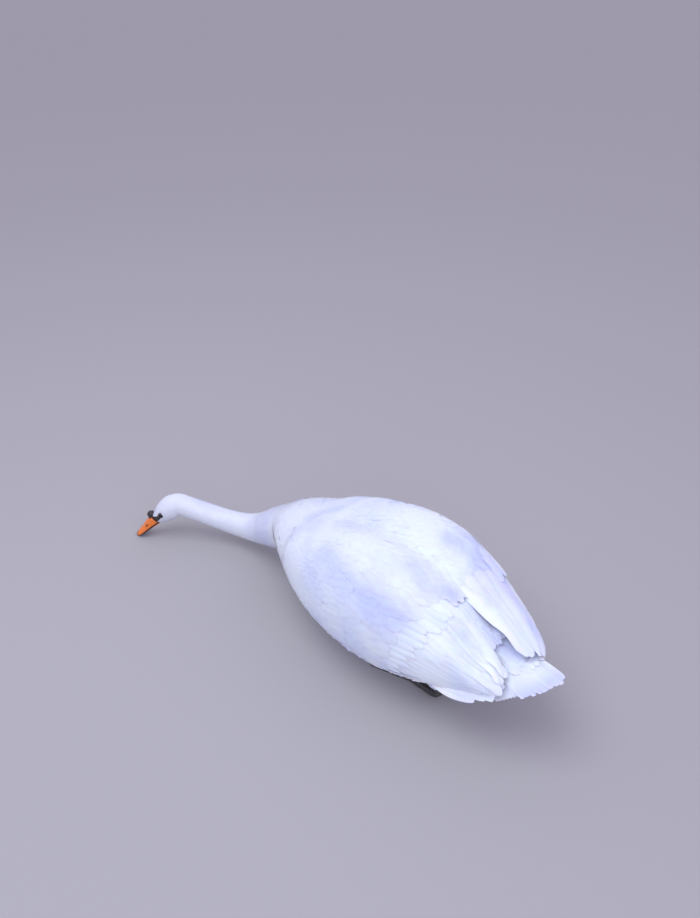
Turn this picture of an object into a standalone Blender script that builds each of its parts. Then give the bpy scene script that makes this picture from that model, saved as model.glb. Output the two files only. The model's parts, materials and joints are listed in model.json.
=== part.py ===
"""Mute swan, life size, resting on its belly with the neck reached out low and the bill tip on the ground.

Metres, +Z up. +X points from the tail to the breast and +Y to the bird's left.
The origin is on the ground, in the middle of the flat of the belly.
The trunk, neck and head are one loft along a curved spine, parted by thin cuts.
"""

from math import atan2, cos, hypot, pi, radians, sin

import bmesh
import bpy
from mathutils import Matrix, Vector

GAP = 0.0003  # between pieces that touch
MM = 0.001

# ---------------------------------------------------------------- driving sizes
RING_POINTS = 28  # around the trunk
TRUNK_STEPS = 14  # sections along each piece
BREAST_STEPS = 9
NECK_STEPS = 6
HEAD_STEPS = 12
NECK_RING_POINTS = 18
HEAD_RING_POINTS = 20
SECTION_POWER = 2.15  # 2 is an ellipse, more is fuller at the corners

# Stations of the trunk (mm): name, x, centre height, tilt in degrees, half width, rise above, drop below.
TRUNK_STATIONS = (
    ("tail root", -372, 190, 0, 26, 13, 15),
    ("rump", -305, 186, 0, 84, 40, 68),
    ("hips", -236, 176, 0, 120, 68, 118),
    ("cape end", -190, 170, 0, 133, 108, 134),
    ("belly back", -110, 160, 0, 150, 141, 150),
    ("belly", 0, 154, 0, 161, 150, 161),
    ("belly front", 110, 152, 0, 161, 143, 160),
    ("breast", 215, 154, -6, 146, 117, 146),
    ("breast front", 300, 160, -24, 108, 82, 110),
    ("neck root", 350, 157, -40, 70, 54, 72),
)
BREAST_CUT = 0.61  # share of the trunk's spine, from the tail, where the breast starts

NECK_NAPE = Vector((0.676, 0.112, 0.101))
NECK_ROOT_PULL = 0.20  # how far the neck keeps the direction of its root
NECK_NAPE_PULL = 0.16
NECK_NAPE_RISE = radians(16)
NECK_NAPE_YAW = radians(34)
NECK_RADII = ((0, 66), (0.16, 55), (0.38, 42), (0.62, 34.5), (0.85, 30.5), (1, 29))  # share, mm
NECK_ROUND_FROM = 0.3  # share of its length from which the neck's section is a circle
NECK_CUTS = (0.34, 0.67)
NECK_LENGTH = 0.42

HEAD_TURN_LENGTH = 0.040  # over which the head bends down from the nape
HEAD_PITCH = radians(-37)
HEAD_YAW = radians(46)
# Stations of the head (mm): distance from the nape, half width, rise above, drop below.
HEAD_STATIONS = (
    ("nape", 0, 29, 29, 29),
    ("occiput", 20, 30.5, 32, 29.5),
    ("crown", 44, 33, 35, 31),
    ("eye", 66, 29.5, 31.5, 28),
    ("lores", 84, 23, 24, 23),
    ("bill base", 98, 18, 18.5, 18.5),
)
EYE_ALONG = 0.0695
EYE_UP = 0.0100
EYE_RADIUS = 0.0068
EYE_PROUD = 0.0022  # how far the eyeball stands out of the head
EYE_FACETS = (12, 8)  # round the eyeball, pole to pole

BILL_LENGTH = 0.084
# Stations of the upper bill: share of the length, half width, ridge height over the cutting edge (mm).
BILL_STATIONS = (
    ("base", 0, 17.5, 25),
    ("nostril", 0.35, 15.5, 19),
    ("middle", 0.62, 16.5, 12.5),
    ("nail", 0.86, 15, 8.5),
    ("tip", 1, 6.5, 4.5),
)
BILL_EDGE_DROP = 0.0075  # the cutting edge lies this far below the head's axis
BILL_DROOP = radians(3)
BILL_GAP = 0.001  # keeps the drooping base clear of the face
LOWER_BILL_THICKNESS = ((0, 9.5), (0.5, 7), (0.85, 4.5), (1, 2.5))  # share, mm
LOWER_BILL_SHARE = 0.93  # of the upper bill's length
LOWER_BILL_NARROWER = 0.88
BILL_ARC_STEPS = 10
BILL_ROWS = 10
KNOB_RADII = Vector((0.0125, 0.0095, 0.0120))
KNOB_ALONG = 0.102
KNOB_UP = 0.0175

# Stations of the folded wing, in mm: x, inner edge (y, z), ridge (y, z), widest (y, z), lower edge (y, z).
WING_STATIONS = (
    ("shoulder", 246, 64, 259, 87, 252, 138, 181, 137, 150),
    ("wrist", 190, 34, 283, 76, 281, 160, 168, 152, 116),
    ("forearm", 110, 16, 302, 74, 312, 182, 164, 168, 96),
    ("elbow", 10, 12, 310, 76, 336, 194, 165, 177, 90),
    ("secondaries", -90, 13, 307, 78, 337, 194, 168, 176, 94),
    ("tertials", -180, 16, 287, 78, 310, 178, 171, 163, 108),
    ("wing end", -262, 20, 254, 76, 266, 152, 171, 142, 122),
    ("wing point", -366, 50, 207, 78, 209, 121, 172, 117, 150),
)
WING_LENGTH_BEHIND = 0.366
RIGHT_WING_TUCK = 0.030  # the right wing's tip lies this much closer to the tail
WING_RIDGE_AT = 0.22  # shares of the way from the inner edge to the lower edge
WING_WIDEST_AT = 0.70
INNER_TURN = radians(70)  # how far round the section turns from the ridge to the inner edge
LOWER_TURN = radians(75)  # and from the widest line to the lower edge
WING_THICKNESS = ((0, 16), (0.3, 24), (0.6, 40), (0.8, 46), (1, 24))  # share of the length, mm
WING_EDGE_THICK = 0.0030
SEAT_GAP = 0.0013
SEAT_OPENING = 0.005  # the seat's cutter reaches this far out of the wing
WING_COLUMNS = 12
WING_ROWS = 14

# The closed fan of primaries that shows below and behind the wing: a tapering blade.
PRIMARY_ROOT = Vector((-0.240, 0.128, 0.148))
PRIMARY_TIP = Vector((-0.402, 0.112, 0.156))
PRIMARY_WIDTH = 0.064
PRIMARY_THICK = 0.008
PRIMARY_TILT = radians(52)  # from flat, the outer edge down
PRIMARY_STEPS = (0, -0.016, -0.036)  # the tips step back, feather by feather
PRIMARY_NOTCH = 0.007
PRIMARY_BULGE = 0.010

TAIL_ROOT_X = -0.318
TAIL_Z = 0.190
TAIL_LENGTH = 0.152
TAIL_ROOT_HALF = 0.036
TAIL_YAW = radians(13)  # the fan is swung a little to the left
TAIL_SPREAD = radians(14)  # half angle of the fan
TAIL_WEDGE = 0.24  # how much shorter the side feathers are
TAIL_LONGEST = 0.30  # where the longest feathers are across the fan, from right to left
TAIL_FEATHERS = 11
TAIL_NOTCH = 0.008
TAIL_RISE = radians(3)
TAIL_SAG = 1.9  # droop of the fan's sides, per metre of width squared
TAIL_THICK = 0.010

SOLE_Z = 0.0
FOOT_HEEL = Vector((-0.1304, 0.0845, 0))
FOOT_NECK = 0.018  # the toes fan out from a point this far behind the heel
FOOT_YAW = radians(0)
TOES = (("inner", -13, 0.092), ("middle", 0, 0.114), ("outer", 11.5, 0.108))  # name, degrees, length
TOE_HEIGHT = 0.0100
TOE_HALF_ANGLE = radians(4.2)
WEB_HEIGHT = 0.0030
WEB_NOTCH = 0.80  # the web's edge, as a share of the toes' length
CLAW_LENGTH = 0.009  # the claws point the toes
HIND_TOE = (Vector((0.009, -0.002, 0.0052)), Vector((0.004, -0.030, 0.0046)))  # its ends, from the heel
HIND_TOE_RADIUS = 0.0042
LEG_PLAY = 0.0004
LEG_STEPS = 9
# Places and radii down the leg: from the thigh, round the hock, to the heel.
TARSUS = (
    (Vector((-0.160, 0.078, 0.090)), 0.021),
    (Vector((-0.192, 0.081, 0.057)), 0.018),
    (Vector((-0.214, 0.083, 0.0290)), 0.0130),
    (Vector((-0.202, 0.085, 0.0135)), 0.0098),
    (Vector((-0.168, 0.0845, 0.0092)), 0.0080),
    (Vector((-0.1325, 0.0845, 0.0088)), 0.0080),
)

WHITE = ("plumage", (0.86, 0.87, 0.92), 0.75)
ORANGE = ("bill_orange", (0.80, 0.25, 0.05), 0.38)
BLACK = ("bill_black", (0.015, 0.015, 0.017), 0.42)
LEG_GREY = ("leg_skin", (0.05, 0.05, 0.055), 0.55)
EYE_BROWN = ("eye", (0.012, 0.008, 0.006), 0.08)


# ---------------------------------------------------------------- scene and small tools
def clear_scene():
    for obj in list(bpy.data.objects):
        bpy.data.objects.remove(obj)


def new_collection(name):
    collection = bpy.data.collections.new(name)
    bpy.context.scene.collection.children.link(collection)
    return collection


def material(kind):
    name, colour, roughness = kind
    found = bpy.data.materials.get(name)
    if found:
        return found
    made = bpy.data.materials.new(name)
    made.use_nodes = True
    shader = made.node_tree.nodes["Principled BSDF"]
    shader.inputs["Base Color"].default_value = (*colour, 1)
    shader.inputs["Roughness"].default_value = roughness
    made.diffuse_color = (*colour, 1)
    return made


def curve_through(stations, at):
    """A smooth curve through (position, value) pairs, read at one position; values may be vectors."""
    places = [s[0] for s in stations]
    values = [s[1] for s in stations]
    last = len(places) - 1
    at = min(max(at, places[0]), places[-1])
    i = min(max(k for k in range(last + 1) if places[k] <= at), last - 1)

    def slope(k):
        a, b = max(k - 1, 0), min(k + 1, last)
        return (values[b] - values[a]) / (places[b] - places[a])

    span = places[i + 1] - places[i]
    t = (at - places[i]) / span
    start = values[i] * (2 * t**3 - 3 * t**2 + 1) + slope(i) * span * (t**3 - 2 * t**2 + t)
    end = values[i + 1] * (3 * t**2 - 2 * t**3) + slope(i + 1) * span * (t**3 - t**2)
    return start + end


def column(stations, index, place=1, unit=MM):
    """(position, value) pairs of one column of a table of stations."""
    return [(row[place], row[index] * unit) for row in stations]


def signed_power(value, power):
    return (abs(value) ** power) * (1 if value >= 0 else -1)


def add_object(name, bm, collection, kind):
    bmesh.ops.recalc_face_normals(bm, faces=bm.faces)
    mesh = bpy.data.meshes.new(name)
    bm.to_mesh(mesh)
    bm.free()
    mesh.shade_smooth()
    mesh.set_sharp_from_angle(angle=radians(50))
    mesh.materials.append(material(kind))
    obj = bpy.data.objects.new(name, mesh)
    collection.objects.link(obj)
    return obj


def loft(rings):
    """A closed bmesh through rings of the same number of points, with flat ends."""
    bm = bmesh.new()
    loops = [[bm.verts.new(p) for p in ring] for ring in rings]
    count = len(loops[0])
    for a, b in zip(loops, loops[1:]):
        for i in range(count):
            j = (i + 1) % count
            bm.faces.new((a[i], a[j], b[j], b[i]))
    bm.faces.new(loops[0])
    bm.faces.new(loops[-1])
    return bm


def slab(top, bottom, columns, rows):
    """A closed bmesh between two surfaces, each a function of (u, v) from 0 to 1."""
    bm = bmesh.new()
    across = [i / columns for i in range(columns + 1)]
    along = [j / rows for j in range(rows + 1)]
    sheets = [[[bm.verts.new(surface(u, v)) for u in across] for v in along] for surface in (top, bottom)]
    for sheet in sheets:
        for j in range(rows):
            for i in range(columns):
                bm.faces.new((sheet[j][i], sheet[j][i + 1], sheet[j + 1][i + 1], sheet[j + 1][i]))
    rim = [(i, 0) for i in range(columns)]
    rim += [(columns, j) for j in range(rows)]
    rim += [(i, rows) for i in range(columns, 0, -1)]
    rim += [(0, j) for j in range(rows, 0, -1)]
    for (i, j), (k, m) in zip(rim, rim[1:] + rim[:1]):
        bm.faces.new((sheets[0][j][i], sheets[0][m][k], sheets[1][m][k], sheets[1][j][i]))
    return bm


def make_cutter(obj):
    obj.hide_render = True
    obj.display_type = "WIRE"
    return obj


def boolean(obj, others, operation="DIFFERENCE"):
    for other in others:
        modifier = obj.modifiers.new(operation.lower() + "_" + other.name, "BOOLEAN")
        modifier.operation = operation
        modifier.object = other
        modifier.solver = "EXACT"


# ---------------------------------------------------------------- the spine: trunk, neck and head
def direction(pitch, yaw):
    return Vector((cos(pitch) * cos(yaw), cos(pitch) * sin(yaw), sin(pitch)))


class Ring:
    """One cross-section: where it is, which way it faces and how large it is."""

    def __init__(self, centre, pitch, yaw, width, above, below):
        self.centre = centre
        self.ahead = direction(pitch, yaw)
        self.side = Vector((-sin(yaw), cos(yaw), 0))
        self.up = self.ahead.cross(self.side)
        self.width, self.above, self.below = width, above, below

    def point(self, angle):
        across = signed_power(cos(angle), 2 / SECTION_POWER) * self.width
        height = signed_power(sin(angle), 2 / SECTION_POWER)
        height *= self.above if height > 0 else self.below
        place = self.centre + self.side * across + self.up * height
        return Vector((place.x, place.y, max(place.z, 0)))

    def points(self, count):
        return [self.point(2 * pi * i / count) for i in range(count)]


def trunk_ring(share):
    """The trunk's section at a share of its stations, from the tail root to the neck root."""
    last = len(TRUNK_STATIONS) - 1
    x = curve_through([(i / last, row[1] * MM) for i, row in enumerate(TRUNK_STATIONS)], share)
    at = x / MM
    centre = Vector((x, 0, curve_through(column(TRUNK_STATIONS, 2), at)))
    tilt = radians(curve_through(column(TRUNK_STATIONS, 3, unit=1), at))
    sizes = [curve_through(column(TRUNK_STATIONS, k), at) for k in (4, 5, 6)]
    return Ring(centre, tilt, 0, *sizes)


def bezier(points, t):
    a, b, c, d = points
    s = 1 - t
    place = a * s**3 + b * 3 * s * s * t + c * 3 * s * t * t + d * t**3
    along = (b - a) * 3 * s * s + (c - b) * 6 * s * t + (d - c) * 3 * t * t
    return place, along


def heading(along):
    return atan2(along.z, hypot(along.x, along.y)), atan2(along.y, along.x)


def neck_ring(share):
    """The neck's section at a share of its length: the trunk's last section, soon turning round."""
    root = trunk_ring(1)
    near_root = root.centre + root.ahead * NECK_ROOT_PULL
    near_nape = NECK_NAPE - direction(NECK_NAPE_RISE, NECK_NAPE_YAW) * NECK_NAPE_PULL
    place, along = bezier((root.centre, near_root, near_nape, NECK_NAPE), share)
    pitch, yaw = heading(along)
    radius = curve_through([(s, r * MM) for s, r in NECK_RADII], share)

    def flattened(size):
        return radius * curve_through([(0, size / radius), (NECK_ROUND_FROM, 1), (1, 1)], share)

    return Ring(place, pitch, yaw, flattened(root.width), flattened(root.above), radius)


def head_place(distance):
    """Centre, pitch and yaw on the head's axis, at a distance from the nape."""
    steps = 24
    place = NECK_NAPE.copy()
    walked = 0
    step = HEAD_TURN_LENGTH / steps
    pitch, yaw = NECK_NAPE_RISE, NECK_NAPE_YAW
    while walked < distance - 1e-9:
        turned = min(walked / HEAD_TURN_LENGTH, 1)
        turned = turned * turned * (3 - 2 * turned)
        pitch = NECK_NAPE_RISE + (HEAD_PITCH - NECK_NAPE_RISE) * turned
        yaw = NECK_NAPE_YAW + (HEAD_YAW - NECK_NAPE_YAW) * turned
        move = min(step, distance - walked)
        place += direction(pitch, yaw) * move
        walked += move
    return place, pitch, yaw


def head_ring(distance):
    place, pitch, yaw = head_place(distance)
    sizes = [curve_through(column(HEAD_STATIONS, k), distance / MM) for k in (2, 3, 4)]
    return Ring(place, pitch, yaw, *sizes)


def head_matrix(distance, along=0.0, side=0.0, up=0.0):
    """A frame on the head: X ahead, Y left, Z up."""
    ring = head_ring(min(distance, HEAD_STATIONS[-1][1] * MM))
    turn = Matrix((ring.ahead, ring.side, ring.up)).transposed().to_4x4()
    place = ring.centre + ring.ahead * (along + max(0, distance - HEAD_STATIONS[-1][1] * MM))
    return Matrix.Translation(place + ring.side * side + ring.up * up) @ turn


def rings_between(ring_at, start, end, steps, count):
    return [ring_at(start + (end - start) * i / steps).points(count) for i in range(steps + 1)]


def build_trunk(collection, cutters):
    spine = (TRUNK_STATIONS[-1][1] - TRUNK_STATIONS[0][1]) * MM
    half_cut = GAP / spine
    behind = rings_between(trunk_ring, 0, BREAST_CUT - half_cut, TRUNK_STEPS, RING_POINTS)
    ahead = rings_between(trunk_ring, BREAST_CUT + half_cut, 1, BREAST_STEPS, RING_POINTS)
    trunk = add_object("trunk", loft(behind), collection, WHITE)
    breast = add_object("breast", loft(ahead), collection, WHITE)
    boolean(trunk, cutters)
    boolean(breast, [c for c in cutters if c.name.startswith("wing")])


def build_neck(collection):
    half_gap = GAP / NECK_LENGTH
    edges = (0, *NECK_CUTS, 1)
    for name, start, end in zip(("neck_lower", "neck_middle", "neck_upper"), edges, edges[1:]):
        rings = rings_between(neck_ring, start + half_gap, end - half_gap, NECK_STEPS, NECK_RING_POINTS)
        add_object(name, loft(rings), collection, WHITE)


def ball(name, radii, matrix, collection, kind, segments=14, rings=8):
    bm = bmesh.new()
    bmesh.ops.create_uvsphere(bm, u_segments=segments, v_segments=rings, radius=1)
    bmesh.ops.scale(bm, vec=radii, verts=bm.verts)
    bmesh.ops.transform(bm, matrix=matrix, verts=bm.verts)
    return add_object(name, bm, collection, kind)


def eye_matrix(side):
    ring = head_ring(EYE_ALONG)
    height = (EYE_UP / ring.above) ** SECTION_POWER
    across = ring.width * (1 - height) ** (1 / SECTION_POWER)
    return head_matrix(EYE_ALONG, side=side * (across - EYE_RADIUS + EYE_PROUD), up=EYE_UP)


def build_head(collection, cutting):
    end = HEAD_STATIONS[-1][1] * MM
    rings = rings_between(head_ring, GAP / 2, end, HEAD_STEPS, HEAD_RING_POINTS)
    head = add_object("head", loft(rings), collection, WHITE)
    eye_radii = Vector((EYE_RADIUS, EYE_RADIUS, EYE_RADIUS))
    play = Vector((GAP, GAP, GAP))
    cutters = []
    for name, side in (("left", 1), ("right", -1)):
        turn = eye_matrix(side)
        ball("eye_" + name, eye_radii, turn, collection, EYE_BROWN, *EYE_FACETS)
        cutters.append(ball("socket_" + name, eye_radii + play, turn, cutting, WHITE, *EYE_FACETS))
    knob_turn = head_matrix(KNOB_ALONG, up=KNOB_UP)
    ball("bill_knob", KNOB_RADII, knob_turn, collection, BLACK)
    hollow = ball("knob_hollow", KNOB_RADII + play, knob_turn, cutting, BLACK)
    boolean(head, [make_cutter(cutter) for cutter in (*cutters, hollow)])
    return hollow


# ---------------------------------------------------------------- the bill
def bill_section(share, lower):
    """Half a rounded outline over or under the cutting edge, closed along it."""
    table = [(row[1], row[2] * MM) for row in BILL_STATIONS]
    width = curve_through(table, share)
    if lower:
        height = -curve_through([(s, t * MM) for s, t in LOWER_BILL_THICKNESS], share)
        width *= LOWER_BILL_NARROWER
    else:
        height = curve_through([(row[1], row[3] * MM) for row in BILL_STATIONS], share)
    arc = []
    for i in range(BILL_ARC_STEPS + 1):
        angle = pi * i / BILL_ARC_STEPS
        arc.append((width * signed_power(cos(angle), 0.8), height * sin(angle) ** 0.85))
    edge = -GAP / 2 if lower else GAP / 2
    middle = [(width * (2 * k / 5 - 1), 0) for k in range(1, 5)]
    return [(y, z + edge) for y, z in arc + middle]


def build_bill(name, lower, collection, hollow):
    base = head_matrix(HEAD_STATIONS[-1][1] * MM, along=BILL_GAP, up=-BILL_EDGE_DROP)
    droop = Matrix.Rotation(BILL_DROOP, 4, "Y")
    length = BILL_LENGTH * (LOWER_BILL_SHARE if lower else 1)
    rings = []
    for j in range(BILL_ROWS + 1):
        share = sin(pi / 2 * j / BILL_ROWS) ** 0.9  # closer together towards the tip
        ring = []
        for y, z in bill_section(share, lower):
            place = base @ droop @ Vector((share * length, y, z))
            ring.append(Vector((place.x, place.y, max(place.z, 0))))
        rings.append(ring)
    bill = add_object(name, loft(rings), collection, BLACK if lower else ORANGE)
    if not lower:
        boolean(bill, [hollow])


# ---------------------------------------------------------------- wings, primaries and tail
def tuck(side, x):
    """How far a wing is drawn in towards the body, growing from the middle of the bird to its tail."""
    return max(0, -x / WING_LENGTH_BEHIND) ** 2 * RIGHT_WING_TUCK if side < 0 else 0


def wing_point(u, v, side, inset):
    """On the folded wing, from the inner edge over the ridge to the lower edge (u), front to back (v)."""
    stations = [(i / (len(WING_STATIONS) - 1), s) for i, s in enumerate(WING_STATIONS)]
    x, yi, zi, yr, zr, yo, zo, yl, zl = (
        curve_through([(place, row[k] * MM) for place, row in stations], v) for k in range(1, 10)
    )
    if u < WING_RIDGE_AT:
        angle = (1 - u / WING_RIDGE_AT) * INNER_TURN
        y = yr - (yr - yi) * sin(angle) / sin(INNER_TURN)
        z = zr - (zr - zi) * (1 - cos(angle)) / (1 - cos(INNER_TURN))
        slope = Vector((0, -sin(angle) * 0.5, 1)).normalized()
    elif u < WING_WIDEST_AT:
        angle = (u - WING_RIDGE_AT) / (WING_WIDEST_AT - WING_RIDGE_AT) * pi / 2
        y = yr + (yo - yr) * sin(angle)
        z = zo + (zr - zo) * cos(angle)
        slope = Vector((0, sin(angle), cos(angle)))
    else:
        angle = (u - WING_WIDEST_AT) / (1 - WING_WIDEST_AT) * LOWER_TURN
        y = yo - (yo - yl) * (1 - cos(angle)) / (1 - cos(LOWER_TURN))
        z = zo - (zo - zl) * sin(angle) / sin(LOWER_TURN)
        slope = Vector((0, cos(angle), -sin(angle) * 0.6)).normalized()
    place = Vector((x, y, z)) - slope * inset
    return Vector((place.x, side * (place.y - tuck(side, place.x)), place.z))


def wing_thickness(u, v):
    across = max(0, 1 - (2 * u - 1) ** 4) ** 0.5
    along = max(0, 1 - (2 * v - 1) ** 4) ** 0.5
    deepest = curve_through([(s, t * MM) for s, t in WING_THICKNESS], v)
    return WING_EDGE_THICK + (deepest - WING_EDGE_THICK) * across * along


def build_wing(name, side, collection, seat=False):
    """The folded wing, or with seat the larger solid that its seat in the trunk is cut with."""
    bm = slab(
        lambda u, v: wing_point(u, v, side, 0),
        lambda u, v: wing_point(u, v, side, wing_thickness(u, v)),
        WING_COLUMNS,
        WING_ROWS,
    )
    if seat:
        bmesh.ops.recalc_face_normals(bm, faces=bm.faces)
        outer_count = (WING_COLUMNS + 1) * (WING_ROWS + 1)
        for i, (vert, normal) in enumerate([(v, v.normal.copy()) for v in bm.verts]):
            vert.co += normal * (SEAT_OPENING if i < outer_count else SEAT_GAP)
    return add_object(name, bm, collection, WHITE)


def feather_edge(u, count, depth):
    """The scalloped end of a row of feathers: 0 at the tips, depth in the notches."""
    inside = (u * count) % 1.0
    return depth * abs(2 * inside - 1) ** 1.6


def build_primaries(name, side, collection, seat=False):
    axis = PRIMARY_TIP - PRIMARY_ROOT
    grow = SEAT_GAP if seat else 0

    def blade(u, v, face):
        feathers = len(PRIMARY_STEPS)
        step = PRIMARY_STEPS[min(int(u * feathers), feathers - 1)]
        end = axis.length + step - feather_edge(u, feathers, PRIMARY_NOTCH)
        along = (end + 2 * grow) * v - grow
        share = along / axis.length
        width = PRIMARY_WIDTH * (1 - 0.45 * share**2) + 2 * grow
        across = (u - 0.5) * width
        thick = PRIMARY_THICK * (1 - 0.55 * share) * max(0.35, 1 - (2 * u - 1) ** 2) ** 0.5
        place = PRIMARY_ROOT + axis.normalized() * along
        down = Vector((0, cos(PRIMARY_TILT), -sin(PRIMARY_TILT)))
        out = Vector((0, sin(PRIMARY_TILT), cos(PRIMARY_TILT)))
        bulge = PRIMARY_BULGE * (1 - (2 * u - 1) ** 2)
        place = place + down * across + out * (bulge + face * (thick / 2 + grow))
        return Vector((place.x, side * (place.y - tuck(side, place.x)), place.z))

    bm = slab(lambda u, v: blade(u, v, 1), lambda u, v: blade(u, v, -1), 9, 5)
    return add_object(name, bm, collection, WHITE)


def build_tail(name, collection, seat=False):
    grow = SEAT_GAP if seat else 0

    def fan(u, v, face):
        turn = (2 * u - 1) * TAIL_SPREAD + TAIL_YAW
        reach = TAIL_LONGEST if u < TAIL_LONGEST else 1 - TAIL_LONGEST
        wedge = 1 - TAIL_WEDGE * (abs(u - TAIL_LONGEST) / reach) ** 1.5
        length = TAIL_LENGTH * wedge - feather_edge(u, TAIL_FEATHERS, TAIL_NOTCH)
        along = (length + 2 * grow) * v - grow
        across = (2 * u - 1) * (TAIL_ROOT_HALF + 2 * grow) + along * sin(turn)
        thick = TAIL_THICK * (1 - 0.65 * v) + 2 * grow
        height = TAIL_Z + along * sin(TAIL_RISE) - TAIL_SAG * across**2 + face * thick / 2
        return Vector((TAIL_ROOT_X - along * cos(turn), across, height))

    bm = slab(lambda u, v: fan(u, v, 1), lambda u, v: fan(u, v, -1), 2 * TAIL_FEATHERS, 5)
    return add_object(name, bm, collection, WHITE)


# ---------------------------------------------------------------- legs and feet
def tube(path, radii, count=12):
    rings = []
    for i, place in enumerate(path):
        ahead = (path[min(i + 1, len(path) - 1)] - path[max(i - 1, 0)]).normalized()
        side = ahead.cross(Vector((0, 0, 1))).normalized()
        up = side.cross(ahead)
        turned = [2 * pi * k / count for k in range(count)]
        rings.append([place + (side * cos(a) + up * sin(a)) * radii[i] for a in turned])
    return loft(rings)


def build_leg(name, side, collection, grow=0.0):
    count = len(TARSUS) - 1
    path, radii = [], []
    for k in range(LEG_STEPS + 1):
        place = curve_through([(i / count, p) for i, (p, _) in enumerate(TARSUS)], k / LEG_STEPS)
        path.append(Vector((place.x, side * place.y, place.z)))
        radius = curve_through([(i / count, r) for i, (_, r) in enumerate(TARSUS)], k / LEG_STEPS)
        radii.append(radius + grow)
    return add_object(name, tube(path, radii), collection, LEG_GREY)


def foot_columns():
    """(angle, toe offset from -1 to 1 or None on the web, length) across the foot, inner toe first."""
    columns = []
    for i, (_, angle, length) in enumerate(TOES):
        if i:
            before = TOES[i - 1]
            columns.append((radians((before[1] + angle) / 2), None, WEB_NOTCH * (before[2] + length) / 2))
        for offset in (-1, -0.5, 0, 0.5, 1):
            claw = CLAW_LENGTH if offset == 0 else 0
            end = length * (1 - 0.07 * offset * offset) + claw
            columns.append((radians(angle) + offset * TOE_HALF_ANGLE, offset, end))
    return columns


def foot_place(side, angle, along):
    """On the sole: angle is from the foot's own middle line, positive outwards."""
    turned = FOOT_YAW + angle
    x = FOOT_HEEL.x - FOOT_NECK + along * cos(turned)
    return Vector((x, side * (FOOT_HEEL.y + along * sin(turned)), SOLE_Z))


def build_foot(name, side, collection, cutting):
    columns = foot_columns()
    count = len(columns) - 1

    def read(u, v):
        angle, offset, length = columns[round(u * count)]
        place = foot_place(side, angle, FOOT_NECK + length * v)
        return place, offset, v

    def top(u, v):
        place, offset, along = read(u, v)
        height = WEB_HEIGHT
        if offset is not None:
            joints = 1 + 0.10 * cos(6 * pi * along)
            ridge = TOE_HEIGHT * (1 - 0.5 * along) * joints * max(0, 1 - offset * offset) ** 0.5
            height = max(height, ridge)
        return Vector((place.x, place.y, max(height, TOE_HEIGHT * 0.9 * (1 - 7 * along))))

    foot = add_object(name, slab(top, lambda u, v: read(u, v)[0], count, 6), collection, LEG_GREY)
    start, end = (Vector((FOOT_HEEL.x + p.x, side * (FOOT_HEEL.y + p.y), p.z)) for p in HIND_TOE)
    path = [start.lerp(end, t) for t in (0, 0.35, 0.7, 1)]
    radii = [HIND_TOE_RADIUS * k for k in (1, 1, 0.85, 0.3)]
    hind = add_object(name + "_hind_toe", tube(path, radii, 8), cutting, LEG_GREY)
    boolean(foot, [make_cutter(hind)], "UNION")
    return foot


# ---------------------------------------------------------------- the whole bird
def build():
    clear_scene()
    swan = new_collection("mute_swan")
    cutting = new_collection("cutters")
    cutters = [make_cutter(build_tail("tail_seat", cutting, seat=True))]
    build_tail("tail", swan)
    for name, side in (("left", 1), ("right", -1)):
        primary_seat = make_cutter(build_primaries("primaries_seat_" + name, side, cutting, seat=True))
        wing = build_wing("wing_" + name, side, swan)
        boolean(wing, [primary_seat])
        build_primaries("primaries_" + name, side, swan)
        build_leg("leg_" + name, side, swan)
        build_foot("foot_" + name, side, swan, cutting)
        cutters += [
            make_cutter(build_wing("wing_seat_" + name, side, cutting, seat=True)),
            primary_seat,
            make_cutter(build_leg("leg_seat_" + name, side, cutting, grow=LEG_PLAY)),
        ]
    build_trunk(swan, cutters)
    build_neck(swan)
    hollow = build_head(swan, cutting)
    build_bill("bill_upper", False, swan, hollow)
    build_bill("bill_lower", True, swan, hollow)


build()
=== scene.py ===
import json
import math

import bmesh
import bpy
import numpy as np
from mathutils import Matrix, Vector, noise
from mathutils.bvhtree import BVHTree

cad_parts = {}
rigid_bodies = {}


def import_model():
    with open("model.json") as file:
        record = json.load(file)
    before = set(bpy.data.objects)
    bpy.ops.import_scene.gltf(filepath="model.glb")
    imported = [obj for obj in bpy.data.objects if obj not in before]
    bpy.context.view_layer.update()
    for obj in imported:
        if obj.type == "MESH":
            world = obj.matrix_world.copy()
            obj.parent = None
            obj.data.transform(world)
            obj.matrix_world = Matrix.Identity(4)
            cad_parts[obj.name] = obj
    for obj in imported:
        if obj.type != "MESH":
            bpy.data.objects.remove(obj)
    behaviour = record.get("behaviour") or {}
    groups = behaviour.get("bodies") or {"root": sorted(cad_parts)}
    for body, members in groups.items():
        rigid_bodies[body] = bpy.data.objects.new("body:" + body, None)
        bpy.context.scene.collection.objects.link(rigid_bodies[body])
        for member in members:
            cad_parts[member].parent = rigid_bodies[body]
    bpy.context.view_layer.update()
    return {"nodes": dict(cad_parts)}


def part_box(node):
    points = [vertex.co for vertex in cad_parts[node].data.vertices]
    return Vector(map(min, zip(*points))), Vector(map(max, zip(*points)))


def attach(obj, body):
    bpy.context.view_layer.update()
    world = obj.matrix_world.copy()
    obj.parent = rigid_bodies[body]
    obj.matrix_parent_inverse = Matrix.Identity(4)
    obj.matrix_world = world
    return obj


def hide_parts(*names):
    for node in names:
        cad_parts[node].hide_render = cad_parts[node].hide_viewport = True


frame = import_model()
nodes = frame["nodes"]
mm = 0.001
random = np.random.default_rng(7)


# small tools for meshes
def merged(names):
    bm = bmesh.new()
    for name in names:
        bm.from_mesh(nodes[name].data)
    bmesh.ops.remove_doubles(bm, verts=bm.verts, dist=0.05 * mm)
    return bm


def meshOf(bm, name="work"):
    mesh = bpy.data.meshes.new(name)
    bm.to_mesh(mesh)
    bm.free()
    return mesh


def newObject(name, mesh):
    made = bpy.data.objects.new(name, mesh)
    bpy.context.scene.collection.objects.link(made)
    return made


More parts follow.
